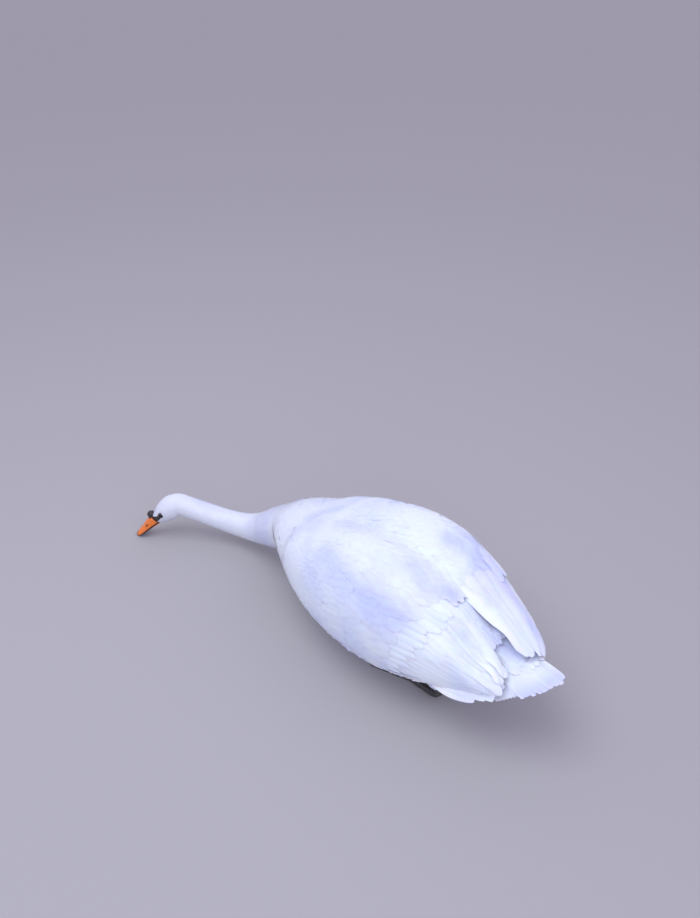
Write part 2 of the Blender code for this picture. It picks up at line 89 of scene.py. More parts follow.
def applied(piece):
    # a new mesh with the piece's modifiers applied
    return bpy.data.meshes.new_from_object(piece.evaluated_get(bpy.context.evaluated_depsgraph_get()))


def remeshed(bm, voxel, rounds):
    # one closed even shell round everything in the bmesh, smoothed
    work = newObject("work", meshOf(bm))
    remesh = work.modifiers.new("remesh", "REMESH")
    remesh.mode = "VOXEL"
    remesh.voxel_size = voxel
    smooth = work.modifiers.new("smooth", "SMOOTH")
    smooth.factor = 0.5
    smooth.iterations = rounds
    made = applied(work)
    bpy.data.objects.remove(work)
    return made


def largestPart(mesh):
    # keeps only the connected part with the most vertices
    bm = bmesh.new()
    bm.from_mesh(mesh)
    bm.verts.ensure_lookup_table()
    part = [-1] * len(bm.verts)
    sizes = []
    for start in bm.verts:
        if part[start.index] >= 0:
            continue
        waiting, size = [start], 0
        part[start.index] = len(sizes)
        while waiting:
            vert = waiting.pop()
            size += 1
            for edge in vert.link_edges:
                other = edge.other_vert(vert)
                if part[other.index] < 0:
                    part[other.index] = len(sizes)
                    waiting.append(other)
        sizes.append(size)
    best = sizes.index(max(sizes))
    bmesh.ops.delete(bm, geom=[v for v in bm.verts if part[v.index] != best], context="VERTS")
    bm.to_mesh(mesh)
    bm.free()
    return mesh


def read(items, name, width, kind=np.float32):
    values = np.empty(len(items) * width, kind)
    items.foreach_get(name, values)
    return values.reshape(-1, width) if width > 1 else values


def surface(mesh):
    return read(mesh.vertices, "co", 3).astype(float), read(mesh.vertices, "normal", 3).astype(float)


def moveVertices(mesh, places):
    mesh.vertices.foreach_set("co", places.astype(np.float32).ravel())
    mesh.update()


def nodePoints(name):
    return read(nodes[name].data.vertices, "co", 3).astype(float)


def finished(piece, material, slot, *replaced):
    # rides on the one body, and takes the place of the solids named last
    piece.data.shade_smooth()
    piece.data.materials.append(material)
    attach(piece, "root")
    if replaced:
        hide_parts(*replaced)
    return piece


def unit(vectors):
    return vectors / np.maximum(np.linalg.norm(vectors, axis=-1, keepdims=True), 1e-12)


def ramp(value, start, end):
    share = np.clip((value - start) / (end - start), 0, 1)
    return share * share * (3 - 2 * share)


def waves(points, scale, seed=0.0):
    return np.array([noise.noise(Vector(p) * scale + Vector((seed, seed, seed))) for p in points])


# the line down the middle of the bird, from tail to face; the neck's own middle is found in slices across it
spineLook = {
    "trunk": ((-0.47, 0, 0.19), (-0.3, 0, 0.185), (-0.1, 0, 0.162), (0.1, 0, 0.154), (0.3, 0, 0.158)),
    "neck": ("neck_lower", "neck_middle", "neck_upper", "head"),
    "centredFrom": 0.36,  # x from which the line is centred in the neck
    "endKept": 8,  # points at the bill that stay where they are
    "sliceHalf": 14 * mm,
    "reach": 90 * mm,
}


def boxMiddle(name):
    low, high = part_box(name)
    return (low + high) / 2


class Spine:
    def __init__(self):
        look = spineLook
        around = np.concatenate([read(nodes[n].data.vertices, "co", 3) for n in look["neck"]])
        rough = list(look["trunk"]) + [tuple(boxMiddle(n)) for n in look["neck"]]
        billCorners = [corner for n in ("bill_upper", "bill_lower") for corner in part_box(n)]
        rough.append(tuple(sum(billCorners, Vector()) / 4))
        self.points = self.evened(np.array(rough, float))
        for _ in range(4):
            along = unit(np.gradient(self.points, axis=0))
            moved = self.points.copy()
            for i, (place, way) in enumerate(zip(self.points, along)):
                if place[0] < look["centredFrom"] or i > len(moved) - look["endKept"]:
                    continue
                off = around - place
                near = (abs(off @ way) < look["sliceHalf"]) & (np.linalg.norm(off, axis=1) < look["reach"])
                side = unit(np.cross((0, 0, 1), way))
                up = np.cross(way, side)
                for axis in (side, up):
                    spread = off[near] @ axis
                    if len(spread) > 8:
                        moved[i] += axis * (spread.min() + spread.max()) / 2
            for _ in range(6):
                moved[1:-1] = moved[1:-1] * 0.5 + (moved[:-2] + moved[2:]) * 0.25
            self.points = self.evened(moved)
        self.along = unit(np.gradient(self.points, axis=0))
        self.side = unit(np.cross((0, 0, 1), self.along))
        self.up = np.cross(self.along, self.side)

    def evened(self, points, step=0.008):
        lengths = np.concatenate(([0], np.cumsum(np.linalg.norm(np.diff(points, axis=0), axis=1))))
        at = np.linspace(0, lengths[-1], int(lengths[-1] / step) + 1)
        self.length = at
        return np.stack([np.interp(at, lengths, points[:, k]) for k in range(3)], -1)

    def nearest(self, points):
        best = np.empty(len(points), int)
        for start in range(0, len(points), 4000):
            chunk = points[start : start + 4000]
            best[start : start + 4000] = ((chunk[:, None] - self.points[None]) ** 2).sum(-1).argmin(1)
        return best

    def around(self, points):
        # distance along the spine and the angle round it, 0 to the left and a quarter turn at the top
        at = self.nearest(points)
        off = points - self.points[at]
        angle = np.arctan2((off * self.up[at]).sum(-1), (off * self.side[at]).sum(-1))
        return self.length[at] + (off * self.along[at]).sum(-1), angle


spine = Spine()


# the outer shape of the plumage, which feathers are laid along
class Shell:
    def __init__(self, mesh):
        mesh.calc_loop_triangles()
        self.mesh = mesh
        self.co, self.normal = surface(mesh)
        self.faces = read(mesh.loop_triangles, "vertices", 3, np.int32)
        corners = self.co[self.faces]
        self.centre = corners.mean(1)
        cross = np.cross(corners[:, 1] - corners[:, 0], corners[:, 2] - corners[:, 0])
        self.area = np.linalg.norm(cross, axis=1) / 2
        self.faceNormal = unit(self.normal[self.faces].mean(1))
        self.tree = BVHTree.FromPolygons(self.co.tolist(), self.faces.tolist())
        self.normalList = [Vector(n) for n in self.faceNormal]

    def scatter(self, wanted, spacing, seed):
        # roots no closer than the spacing, which is given for each face
        generator = np.random.default_rng(seed)
        density = np.where(wanted, self.area / spacing**2, 0)
        tries = int(density.sum() * 5)
        face = generator.choice(len(density), tries, p=density / density.sum())
        a, b = generator.random((2, tries))
        over = a + b > 1
        a[over], b[over] = 1 - a[over], 1 - b[over]
        p, q, r = (self.co[self.faces[face, k]] for k in range(3))
        places = p + (q - p) * a[:, None] + (r - p) * b[:, None]
        gap = spacing[face]
        size = float(gap.max())
        cells = np.floor(places / size).astype(int)
        taken, kept = {}, []
        steps = [(i, j, k) for i in (-1, 0, 1) for j in (-1, 0, 1) for k in (-1, 0, 1)]
        for n, (place, limit, cell) in enumerate(zip(places.tolist(), (gap**2).tolist(), cells.tolist())):
            x, y, z = place
            i, j, k = cell
            free = True
            for di, dj, dk in steps:
                for u, v, w in taken.get((i + di, j + dj, k + dk), ()):
                    if (u - x) ** 2 + (v - y) ** 2 + (w - z) ** 2 < limit:
                        free = False
                        break
                if not free:
                    break
            if free:
                taken.setdefault((i, j, k), []).append((x, y, z))
                kept.append(n)
        return places[kept]

    def trace(self, roots, ways, lengths, steps, stray):
        # a path from each root along the surface; past an edge it runs on straight
        rows = len(steps)
        path = np.empty((len(roots), rows, 3))
        normals = np.empty_like(path)
        find = self.tree.find_nearest
        parts = np.append(np.diff(steps), 0)
        for i, (root, way, length) in enumerate(zip(roots, ways, lengths)):
            place, _, face, _ = find(Vector(root))
            normal = self.normalList[face]
            way = Vector(way)
            clear = False
            for k in range(rows):
                path[i, k] = place
                normals[i, k] = normal
                way = (way - normal * way.dot(normal)).normalized()
                place = place + way * (length * parts[k])
                if clear:
                    continue
                hit, _, face, distance = find(place)
                turned = self.normalList[face]
                if distance > stray or turned.dot(normal) < 0.3:
                    clear = True
                else:
                    place = hit
                    normal = turned
        return path, normals


# soft hollows and swellings of the plumage, each a line on the left side that is mirrored to the right
formLook = {
    "swell": 5 * mm,  # narrow gaps between the solids are closed by swelling and shrinking back this far
    "shaded": {  # radius and strength of the painted lavender shade round each of these lines
        "sideHollow": (38 * mm, 1.2),
        "capeEdge": (24 * mm, 1.15),
        "shoulderCrease": (22 * mm, 0.6),
        "rearLumpEdge": (14 * mm, 0.7),
        "valley": (20 * mm, 1.4),
    },
    "oneSidedShade": {  # more painted lavender shade on one side only, on the far shoulder, wing and edge and at the tail's end: radius, strength and the line
        "farShoulder": (
            20 * mm, 1.4, ((0.236, 0.040, 0.262), (0.231, 0.019, 0.268), (0.203, -0.023, 0.274))
        ),
        "farEdge": (27 * mm, 1.5, ((-0.134, -0.112, 0.31), (-0.262, -0.080, 0.26), (-0.36, -0.045, 0.21))),
        "farWing": (32 * mm, 0.7, ((-0.20, -0.035, 0.30), (-0.28, -0.02, 0.26), (-0.37, -0.01, 0.215))),
        "tailEnd": (30 * mm, 1.7, ((-0.468, -0.005, 0.199), (-0.455, 0.045, 0.196), (-0.43, 0.085, 0.188))),
    },
    "patches": 1.2 * mm,  # height of the soft unevenness over the whole body
    "rounds": 60,  # of smoothing
    "lines": {  # depth or height, radius and the line
        "capeEdge": (
            -3.5 * mm, 8 * mm, ((-0.10, 0.066, 0.332), (-0.16, 0.082, 0.308), (-0.20, 0.045, 0.289))
        ),
        "capeBulge": (3.5 * mm, 42 * mm, ((0.12, 0.05, 0.305), (-0.02, 0.04, 0.325), (-0.15, 0.03, 0.315))),
        "sideHollow": (
            -4.5 * mm, 17 * mm, ((0.10, 0.137, 0.290), (-0.017, 0.171, 0.270), (-0.159, 0.160, 0.262))
        ),
        "shoulderCrease": (
            -2.5 * mm, 9 * mm,
            ((0.214, 0.02, 0.272), (0.186, 0.09, 0.280), (0.144, 0.151, 0.25), (0.09, 0.172, 0.235)),
        ),
        "rearCrease": (-3.0 * mm, 8 * mm, ((-0.26, 0.113, 0.250), (-0.35, 0.116, 0.20))),
        "rearLump": (3.0 * mm, 13 * mm, ((-0.205, 0.094, 0.294), (-0.235, 0.094, 0.277))),
        "rearLumpEdge": (
            -2.5 * mm, 7 * mm, ((-0.190, 0.115, 0.290), (-0.225, 0.112, 0.278), (-0.262, 0.085, 0.262))
        ),
        "wingBulge": (2.5 * mm, 20 * mm, ((-0.19, 0.15, 0.215), (-0.29, 0.135, 0.205))),
        "valleyFill": (
            16 * mm, 17 * mm, ((-0.215, 0.012, 0.268), (-0.26, 0.016, 0.245), (-0.31, 0.016, 0.222))
        ),
        "valley": (  # only painted shade, with no depth
            0, 10 * mm,
            ((-0.235, 0.03, 0.26), (-0.27, 0.034, 0.235), (-0.31, 0.028, 0.22), (-0.36, 0.014, 0.21)),
        ),
    },
}


def lineShare(places, line, radius):
    # 1 on the line, falling softly to 0 a little beyond the radius
    gap = np.full(len(places), 1.0)
    for start, end in zip(np.array(line[:-1]), np.array(line[1:])):
        along = end - start
        share = np.clip((places - start) @ along / (along @ along), 0, 1)
        gap = np.minimum(gap, np.linalg.norm(places - start - share[:, None] * along, axis=1))
    return np.exp(-((gap / radius) ** 2))


def paintedShadeShare(places):
    # how much painted lavender shade each place takes: from the shaded hollows on both sides, and from the
    # one-sided lines on the far side and at the tail's end
    share = np.zeros(len(places))
    for name, (radius, strength) in formLook["shaded"].items():
        line = formLook["lines"][name][2]
        for mirror in (1, -1):
            share = np.maximum(share, strength * lineShare(places * (1, mirror, 1), line, radius))
    # painted shade along the far shoulder, wing and edge and at the tail's end, on one side only
    for radius, strength, line in formLook["oneSidedShade"].values():
        share = np.maximum(share, strength * lineShare(places, line, radius))
    return share


# one vane: a thin closed leaf whose corners say how far along and across it they are
class Vane:
    def __init__(self, columns, rows, crowd=1.5):
        bm = bmesh.new()
        bmesh.ops.create_grid(bm, x_segments=columns, y_segments=rows, size=1)
        for vert in bm.verts:
            vert.co.z = 0 if vert.is_boundary else 1
        copied = bmesh.ops.duplicate(bm, geom=bm.verts[:] + bm.edges[:] + bm.faces[:])["geom"]
        for vert in (g for g in copied if isinstance(g, bmesh.types.BMVert)):
            vert.co.z = -vert.co.z
        bmesh.ops.reverse_faces(bm, faces=[g for g in copied if isinstance(g, bmesh.types.BMFace)])
        bmesh.ops.remove_doubles(bm, verts=bm.verts, dist=0.01)
        bm.verts.ensure_lookup_table()
        self.across = np.array([v.co.x for v in bm.verts])
        even = np.array([(v.co.y + 1) / 2 for v in bm.verts])
        self.row = np.round(even * rows).astype(int)
        self.steps = 1 - (1 - np.linspace(0, 1, rows + 1)) ** crowd  # rows lie closer towards the tip
        self.share = self.steps[self.row]
        self.face = np.array([v.co.z for v in bm.verts])
        self.rim = np.abs(self.face) < 0.5
        self.faces = np.array([[v.index for v in f.verts] for f in bm.faces])
        self.rows = rows + 1
        bm.free()


smallVane = Vane(2, 3)
bodyVane = Vane(2, 4)
coverVane = Vane(4, 6)
flightVane = Vane(6, 16)

contourShape = {"root": 0.45, "fullest": 0.6, "tip": 0.30}
fineShape = {"root": 0.5, "fullest": 0.45, "tip": 0.15}
flightShape = {"root": 0.22, "fullest": 0.55, "tip": 0.30}


def outline(share, shape):
    # half width along a vane, from its root over its fullest place to its tip
    before = np.clip(share / shape["fullest"], 0, 1)
    rise = shape["root"] + (1 - shape["root"]) * np.sin(before * math.pi / 2)
    past = np.clip((share - shape["fullest"]) / (1 - shape["fullest"]), 0, 1)
    return rise * (shape["tip"] + (1 - shape["tip"]) * np.sqrt(np.clip(1 - past**2, 0, 1)))


def layVanes(name, vane, path, normals, lay):
    # joins one vane for each path into a single mesh; each lies "depth" deep at its root
    # and rises to its tip
    count = len(path)
    width = np.broadcast_to(lay["halfWidth"], count)[:, None]
    length = np.linalg.norm(np.diff(path, axis=1), axis=2).sum(1)
    along = unit(np.gradient(path, axis=1))
    side = unit(np.cross(along, normals))
    up = np.cross(side, along)
    roll = lay.get("roll", 0.0) * random.standard_normal(count)
    roll = (roll + lay.get("turn", 0.0))[:, None, None]
    side, up = side * np.cos(roll) + up * np.sin(roll), up * np.cos(roll) - side * np.sin(roll)
    row, share, across = vane.row, vane.share, vane.across
    shape = outline(share, lay.get("shape", contourShape))[None]
    spread = across[None] * width * shape
    for rowAt, sideAt, cut in lay.get("notches", ()):
        hit = (row == rowAt) & (across * sideAt > 0.4)
        spread = spread * np.where(hit[None], 1 - cut[:, None], 1)
    level = -lay["depth"] * (1 - share) ** lay.get("rise", 2.2) + lay["lift"] * share**3
    level = level[None] * np.ones((count, 1)) + np.broadcast_to(lay.get("layer", 0.0), count)[:, None]
    level = level - lay["camber"] * np.abs(across)[None] ** 1.6 * width * shape
    level = level + vane.face[None] * lay["thick"] * 0.5 * (1 - 0.7 * share)[None]
    quill = np.where((np.abs(across) < 0.01) & (vane.face > 0), lay.get("quill", 0.0) * (1 - share), 0)
    pull = np.where(share > 0.99, -lay.get("round", 0.6) * (1 - vane.steps[-2]) * across**2, 0)
    places = path[:, row] + side[:, row] * spread[..., None]
    places += up[:, row] * (level + quill[None])[..., None]
    places += along[:, row] * (pull[None] * length[:, None])[..., None]

    size = len(share)
    faces = (vane.faces[None] + (np.arange(count) * size)[:, None, None]).reshape(-1, 4)
    mesh = bpy.data.meshes.new(name)
    mesh.vertices.add(count * size)
    mesh.vertices.foreach_set("co", places.astype(np.float32).ravel())
    mesh.loops.add(faces.size)
    mesh.loops.foreach_set("vertex_index", faces.ravel().astype(np.int32))
    mesh.polygons.add(len(faces))
    mesh.polygons.foreach_set("loop_start", np.arange(0, faces.size, 4, dtype=np.int32))
    mesh.update(calc_edges=True)

    distance, angle = spine.around(path[:, 0])
    distance = (distance - distance.min()) / max(np.ptp(distance), 0.01) * 0.98 + 0.01
    baked = np.stack([distance, (angle / math.pi + 1) / 2 * 0.98 + 0.01], -1)
    patch = np.stack([share - 0.5, across * 0.5 * (0.3 + 0.7 * outline(share, contourShape))], -1)
    writeMap(mesh, "OFBake", (baked[:, None] + patch[None] * 0.003).reshape(-1, 2))
    flat = np.stack([spread + np.zeros((count, size)), share[None] * length[:, None]], -1)
    writeMap(mesh, "vane", flat.reshape(-1, 2))
    tone = mesh.attributes.new("tone", "FLOAT", "POINT")
    tone.data.foreach_set("value", np.repeat(random.random(count), size).astype(np.float32))
    # painted lavender shade for each vertex, strongest in the shaded hollows, on the far side and at the
    # tail's end
    paintedShade = mesh.attributes.new("paintedShade", "FLOAT", "POINT")
    paintedShade.data.foreach_set("value", paintedShadeShare(places.reshape(-1, 3)).astype(np.float32))
    ends = read(mesh.edges, "vertices", 2, np.int32)
    rim = np.tile(vane.rim, count)
    sharp = mesh.attributes.new("sharp_edge", "BOOLEAN", "EDGE")
    sharp.data.foreach_set("value", rim[ends[:, 0]] & rim[ends[:, 1]])
    return newObject(name, mesh)


def writeMap(mesh, name, values):
    layer = mesh.uv_layers.new(name=name, do_init=False)
    corner = read(mesh.loops, "vertex_index", 1, np.int32)
    layer.data.foreach_set("uv", values[corner].astype(np.float32).ravel())


# materials
def nodeMaterial(name, colour, roughness, **settings):
    made = bpy.data.materials.new(name)
    made.use_nodes = True
    tree = made.node_tree
    shader = tree.nodes["Principled BSDF"]
    shader.inputs["Base Color"].default_value = (*colour, 1)
    shader.inputs["Roughness"].default_value = roughness
    for key, value in settings.items():
        shader.inputs[key].default_value = value
    return made, tree, shader


def addNode(tree, kind, **values):
    made = tree.nodes.new(kind)
    for key, value in values.items():
        if key in made.inputs.keys():
            made.inputs[key].default_value = value
        else:
            setattr(made, key, value)
    return made


def mathNode(tree, operation, first, second=None):
    made = tree.nodes.new("ShaderNodeMath")
    made.operation = operation
    for socket, value in zip(made.inputs, (first, second)):
        if value is None:
            continue
        if isinstance(value, (int, float)):
            socket.default_value = value
        else:
            tree.links.new(value, socket)
    return made.outputs[0]


def mixColours(tree, factor, first, second):
    made = tree.nodes.new("ShaderNodeMix")
    made.data_type = "RGBA"
    for socket, value in ((made.inputs[0], factor), (made.inputs[6], first), (made.inputs[7], second)):
        if isinstance(value, (int, float)):
            socket.default_value = value
        elif isinstance(value, tuple):
            socket.default_value = (*value, 1)
        else:
            tree.links.new(value, socket)
    return made.outputs[2]


def noiseNode(tree, vector, scale, detail=3.0):
    made = addNode(tree, "ShaderNodeTexNoise", Scale=scale, Detail=detail)
    tree.links.new(vector, made.inputs["Vector"])
    return made.outputs["Fac"]


def bumpNode(tree, shader, height, strength, distance):
    made = addNode(tree, "ShaderNodeBump", Strength=strength, Distance=distance)
    tree.links.new(height, made.inputs["Height"])
    tree.links.new(made.outputs["Normal"], shader.inputs["Normal"])
    return made


plumageLook = {
    "white": (0.87, 0.877, 0.94),
    # shade is the painted lavender shade mixed into the white; each feather's random tone mixes in a little
    # of it too
    "shade": (0.62, 0.63, 0.90),
    "shadePatchSize": 8.0,  # larger numbers make smaller patches of painted shade
    "shadePatchStrength": 0.55,
    "paintedShadeStrength": 0.55,
    "barbAngle": math.radians(38),
    "barbSpacing": 0.9 * mm,
    "roughness": 0.62,
    "softness": {
        "Sheen Weight": 0.25, "Sheen Roughness": 0.5, "Subsurface Weight": 0.25, "Subsurface Scale": 4 * mm
    },
    "tone": 0.07,  # how much single feathers differ
    "most": 0.9,  # most of the shade that any place takes
}


def plumageMaterial(name, barbs):
    look = plumageLook
    made, tree, shader = nodeMaterial(name, look["white"], look["roughness"], **look["softness"])
    where = addNode(tree, "ShaderNodeTexCoord").outputs["Object"]
    # the white is mixed towards the painted lavender shade by random patches, by the painted shade attribute
    # of the hollows and far side, and a little by each feather's random tone
    tone = addNode(tree, "ShaderNodeAttribute", attribute_name="tone").outputs["Fac"]
    paintedShade = addNode(tree, "ShaderNodeAttribute", attribute_name="paintedShade").outputs["Fac"]
    limits = {"From Min": 0.42, "From Max": 0.72}
    patches = addNode(tree, "ShaderNodeMapRange", interpolation_type="SMOOTHSTEP", **limits)
    tree.links.new(noiseNode(tree, where, look["shadePatchSize"]), patches.inputs["Value"])
    share = mathNode(tree, "MULTIPLY", patches.outputs["Result"], look["shadePatchStrength"])
    share = mathNode(tree, "ADD", share, mathNode(tree, "MULTIPLY", paintedShade, look["paintedShadeStrength"]))
    share = mathNode(tree, "ADD", share, mathNode(tree, "MULTIPLY", tone, look["tone"]))
    share = mathNode(tree, "MINIMUM", share, look["most"])
    tree.links.new(mixColours(tree, share, look["white"], look["shade"]), shader.inputs["Base Color"])
    if not barbs:
        bumpNode(tree, shader, noiseNode(tree, where, 900.0), 0.25, 0.2 * mm)
        return made
    flat = addNode(tree, "ShaderNodeUVMap", uv_map="vane").outputs["UV"]
    parts = addNode(tree, "ShaderNodeSeparateXYZ")
    tree.links.new(flat, parts.inputs[0])
    sideways = mathNode(tree, "ABSOLUTE", parts.outputs[0])
    slant = mathNode(
        tree,
        "SUBTRACT",
        mathNode(tree, "MULTIPLY", parts.outputs[1], math.sin(look["barbAngle"])),
        mathNode(tree, "MULTIPLY", sideways, math.cos(look["barbAngle"])),
    )
    wave = mathNode(tree, "SINE", mathNode(tree, "MULTIPLY", slant, 2 * math.pi / look["barbSpacing"]))
    rough = mathNode(tree, "ADD", wave, mathNode(tree, "MULTIPLY", noiseNode(tree, where, 500.0), 1.2))
    bumpNode(tree, shader, rough, 0.35, 0.12 * mm)
    return made


softPlumage = plumageMaterial("softPlumage", False)
vanePlumage = plumageMaterial("vanePlumage", True)


# skin
fleshNodes = (
    "trunk", "breast", "neck_lower", "neck_middle", "neck_upper", "head", "wing_left", "wing_right"
)
skinLook = {
    "voxel": 5 * mm,
    "headVoxel": 1.5 * mm,
    "bodyCoat": 5 * mm,
    "neckCoat": 3.5 * mm,
    "headCoat": 1.6 * mm,
    "valleyCoat": 9 * mm,  # more again on the rump between the wings
    "rearEnd": -0.306,  # behind this only feathers make up the wings
    "rearKept": 0.12,  # what is left of the wings' length behind it
    "middleHalf": 0.035,  # the rump in the middle keeps its length
    "fullFrom": 0.185,  # height over which the hollow between the wings lies
    "deepest": 0.3,  # share of the flesh's thickness that the coat may take
}


def settled(mesh, values, share, rounds):
    # each value drawn towards its neighbours' middle, by the share given for each vertex
    ends = read(mesh.edges, "vertices", 2, np.int32)
    both = np.concatenate([ends, ends[:, ::-1]])
    both = both[both[:, 0].argsort(kind="stable")]
    links = np.bincount(both[:, 0], minlength=len(values))[:, None]
    firsts = np.concatenate(([0], np.cumsum(links[:, 0])[:-1]))
    for _ in range(rounds):
        middle = np.add.reduceat(values[both[:, 1]], firsts, axis=0) / links
        values = values + (middle - values) * share[:, None] * 0.6
    return values


def shaped(names):
    look = formLook
    bm = merged(names)
    bm.normal_update()
    for vert in bm.verts:
        vert.co += vert.normal * look["swell"]
    mesh = largestPart(remeshed(bm, skinLook["voxel"], 4))
    places, normals = surface(mesh)
    places -= normals * look["swell"]
    mirrored = places * (1, -1, 1)
    height = waves(places, 16.0, 3.0) * look["patches"] * ramp(-np.abs(places[:, 0]), -0.36, -0.30)
    for depth, radius, line in look["lines"].values():
        height += depth * np.maximum(lineShare(places, line, radius), lineShare(mirrored, line, radius))
    places += normals * height[:, None]
    # the saddle over the back is smoothed most, then the body, then the ends of the wings
    x, y, z = places.T
    lengthwise = ramp(x, -0.235, -0.17) * ramp(-x, -0.34, -0.30)
    saddle = lengthwise * ramp(z, 0.19, 0.23) * ramp(-np.abs(y), -0.13, -0.09)
    body = ramp(x, -0.24, -0.16) * ramp(-x, -0.36, -0.31)
    places = settled(mesh, places, 0.12 + 0.88 * np.maximum(saddle, 0.45 * body), look["rounds"])
    moveVertices(mesh, places)
    return mesh


# the legs fill their sockets in the shells, so that no feather dips into one
legNodes = ("leg_left", "leg_right")
envelope = Shell(shaped(fleshNodes + legNodes))
rumpShell = Shell(largestPart(remeshed(merged(("trunk", "tail") + legNodes), 4 * mm, 10)))
neckNodes = ("breast", "neck_lower", "neck_middle", "neck_upper", "head")
neckShell = Shell(largestPart(remeshed(merged(neckNodes), 3 * mm, 8)))
headShell = Shell(largestPart(remeshed(merged(("neck_upper", "head")), skinLook["headVoxel"], 10)))
neckStart = spine.around(np.array([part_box("neck_lower")[0]]))[0][0]
headAt, upperAt = (float(spine.around(np.array([boxMiddle(n)]))[0][0]) for n in ("head", "neck_upper"))
headStart = (headAt + upperAt) / 2
print("shells made", len(envelope.faces), "faces")


def sunk(shell, depth):
    # the shell's vertices moved inwards by the coat's depth, less where the flesh is thin
    cast = shell.tree.ray_cast
    limit = np.empty(len(shell.co))
    for i, (place, normal) in enumerate(zip(shell.co.tolist(), shell.normal.tolist())):
        inwards = -Vector(normal)
        hit = cast(Vector(place) + inwards * 0.001, inwards)[3]
        limit[i] = 1.0 if hit is None else hit
    depth = np.minimum(depth, limit * skinLook["deepest"])
    depth = settled(shell.mesh, depth[:, None], np.ones(len(depth)), 6)
    mesh = shell.mesh.copy()
    places = shell.co - shell.normal * depth
    end = skinLook["rearEnd"]
    behind = (places[:, 0] < end) & (np.abs(places[:, 1]) > skinLook["middleHalf"])
    places[behind, 0] = end + (places[behind, 0] - end) * skinLook["rearKept"]
    moveVertices(mesh, places)
    return mesh


def buildSkin():
    look = skinLook
    bodyShell = Shell(shaped([name for name in fleshNodes if name != "head"]))
    distance, _ = spine.around(bodyShell.co)
    x, y, z = bodyShell.co.T
    share = ramp(distance, neckStart, neckStart + 0.15)
    between = ramp(-x, 0.17, 0.22) * ramp(-np.abs(y), -0.085, -0.055)
    depth = look["bodyCoat"] + (look["neckCoat"] - look["bodyCoat"]) * share
    body = sunk(bodyShell, depth + look["valleyCoat"] * between * (z > look["fullFrom"]))
    distance, _ = spine.around(headShell.co)
    share = ramp(distance, upperAt - 0.02, headStart + 0.02)
    head = sunk(headShell, (look["neckCoat"] + 2 * mm) * (1 - share) + look["headCoat"] * share)
    skin = newObject("skin", body)
    tool = newObject("headPart", head)
    modifier = skin.modifiers.new("join", "BOOLEAN")
    modifier.operation = "UNION"
    modifier.solver = "MANIFOLD"
    modifier.object = tool
    made = applied(skin)
    skin.modifiers.clear()
    skin.data = largestPart(made)
    bpy.data.objects.remove(tool)
    print("skin made", len(skin.data.polygons), "faces")
    return skin


downTones = ((0.87, 0.885, 0.94), (0.80, 0.81, 0.90))


def downMaterial():
    # the white of the coat, finely grained
    made, tree, shader = nodeMaterial("skinUnderDown", (0.84, 0.855, 0.92), 0.8)
    where = addNode(tree, "ShaderNodeTexCoord").outputs["Object"]
    down = noiseNode(tree, where, 260.0)
    tree.links.new(mixColours(tree, down, *downTones), shader.inputs["Base Color"])
    bumpNode(tree, shader, down, 0.5, 1 * mm)
    return made


finished(buildSkin(), downMaterial(), "plumage", *fleshNodes)

# the head's own directions: forward to the bill, to the bird's left, and up
eyeBoxes = {side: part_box("eye_" + side) for side in ("left", "right")}
eyeAt = {side: np.array((low + high) / 2) for side, (low, high) in eyeBoxes.items()}
billMiddle = np.array(boxMiddle("bill_upper"))
betweenEyes = (eyeAt["left"] + eyeAt["right"]) / 2
headSide = unit(eyeAt["left"] - eyeAt["right"])
headAhead = billMiddle - betweenEyes
headAhead = unit(headAhead - headSide * (headAhead @ headSide))
headUp = np.cross(headAhead, headSide)
headAxes = np.stack([headAhead, headSide, headUp])
eyeRadius = float(max(eyeBoxes["left"][1] - eyeBoxes["left"][0])) / 2


def inHead(points):
    return (np.asarray(points) - betweenEyes) @ headAxes.T


def fromHead(points):
    return np.asarray(points) @ headAxes + betweenEyes


# where each face of the envelope lies; a wing's edges are angles round a line along the body at this height
axisHeight = 0.16
sides = {"left": 1, "right": -1}


def treeOf(names):
    bm = merged(names)
    tree = BVHTree.FromBMesh(bm)
    bm.free()
    return tree


def edgesOf(sideName, sign, step=0.02):
    # for each slice of a wing, its place along the body and the angles of its lower and inner edge
    points = nodePoints("wing_" + sideName)
    angle = np.arctan2(points[:, 2] - axisHeight, points[:, 1] * sign)
    slices = []
    for start in np.arange(-0.37, 0.25, step):
        inside = (points[:, 0] >= start - step) & (points[:, 0] < start + 2 * step)
        if inside.sum() > 3:
            slices.append((start + step / 2, angle[inside].min(), angle[inside].max()))
    return np.array(slices).T


wingTrees = {sideName: treeOf(("wing_" + sideName,)) for sideName in sides}
wingEdges = {sideName: edgesOf(sideName, sign) for sideName, sign in sides.items()}


def wingPlace(places):
    # how far each place is from a wing's outer side, which wing, and its height on it from 0 low to 1 inner
    angle = np.arctan2(places[:, 2] - axisHeight, np.abs(places[:, 1]))
    away = np.full(len(places), 1.0)
    height = np.zeros(len(places))
    for sideName, sign in sides.items():
        find = wingTrees[sideName].find_nearest
        own = np.nonzero((places[:, 1] * sign > -0.02) & (places[:, 0] < 0.27))[0]
        at, low, high = wingEdges[sideName]
        x = places[own, 0]
        share = (angle[own] - np.interp(x, at, low)) / np.interp(x, at, high - low)
        gap = np.array([find(Vector(p))[3] for p in places[own].tolist()])
        nearer = gap < away[own]
        away[own[nearer]] = gap[nearer]
        height[own[nearer]] = share[nearer]
    return away, height


faceAway, faceHeight = wingPlace(envelope.centre)
faceDistance, _ = spine.around(envelope.centre)
faceX, faceY, faceZ = envelope.centre.T
onWing = (faceAway < 8 * mm) & (faceX < 0.25)
legTree = treeOf(legNodes)


def nearLegs(places, gap=12 * mm):
    near = np.zeros(len(places), bool)
    low = np.nonzero(places[:, 2] < 0.15)[0]
    near[low] = [legTree.find_nearest(Vector(p), gap)[0] is not None for p in places[low].tolist()]
    return near


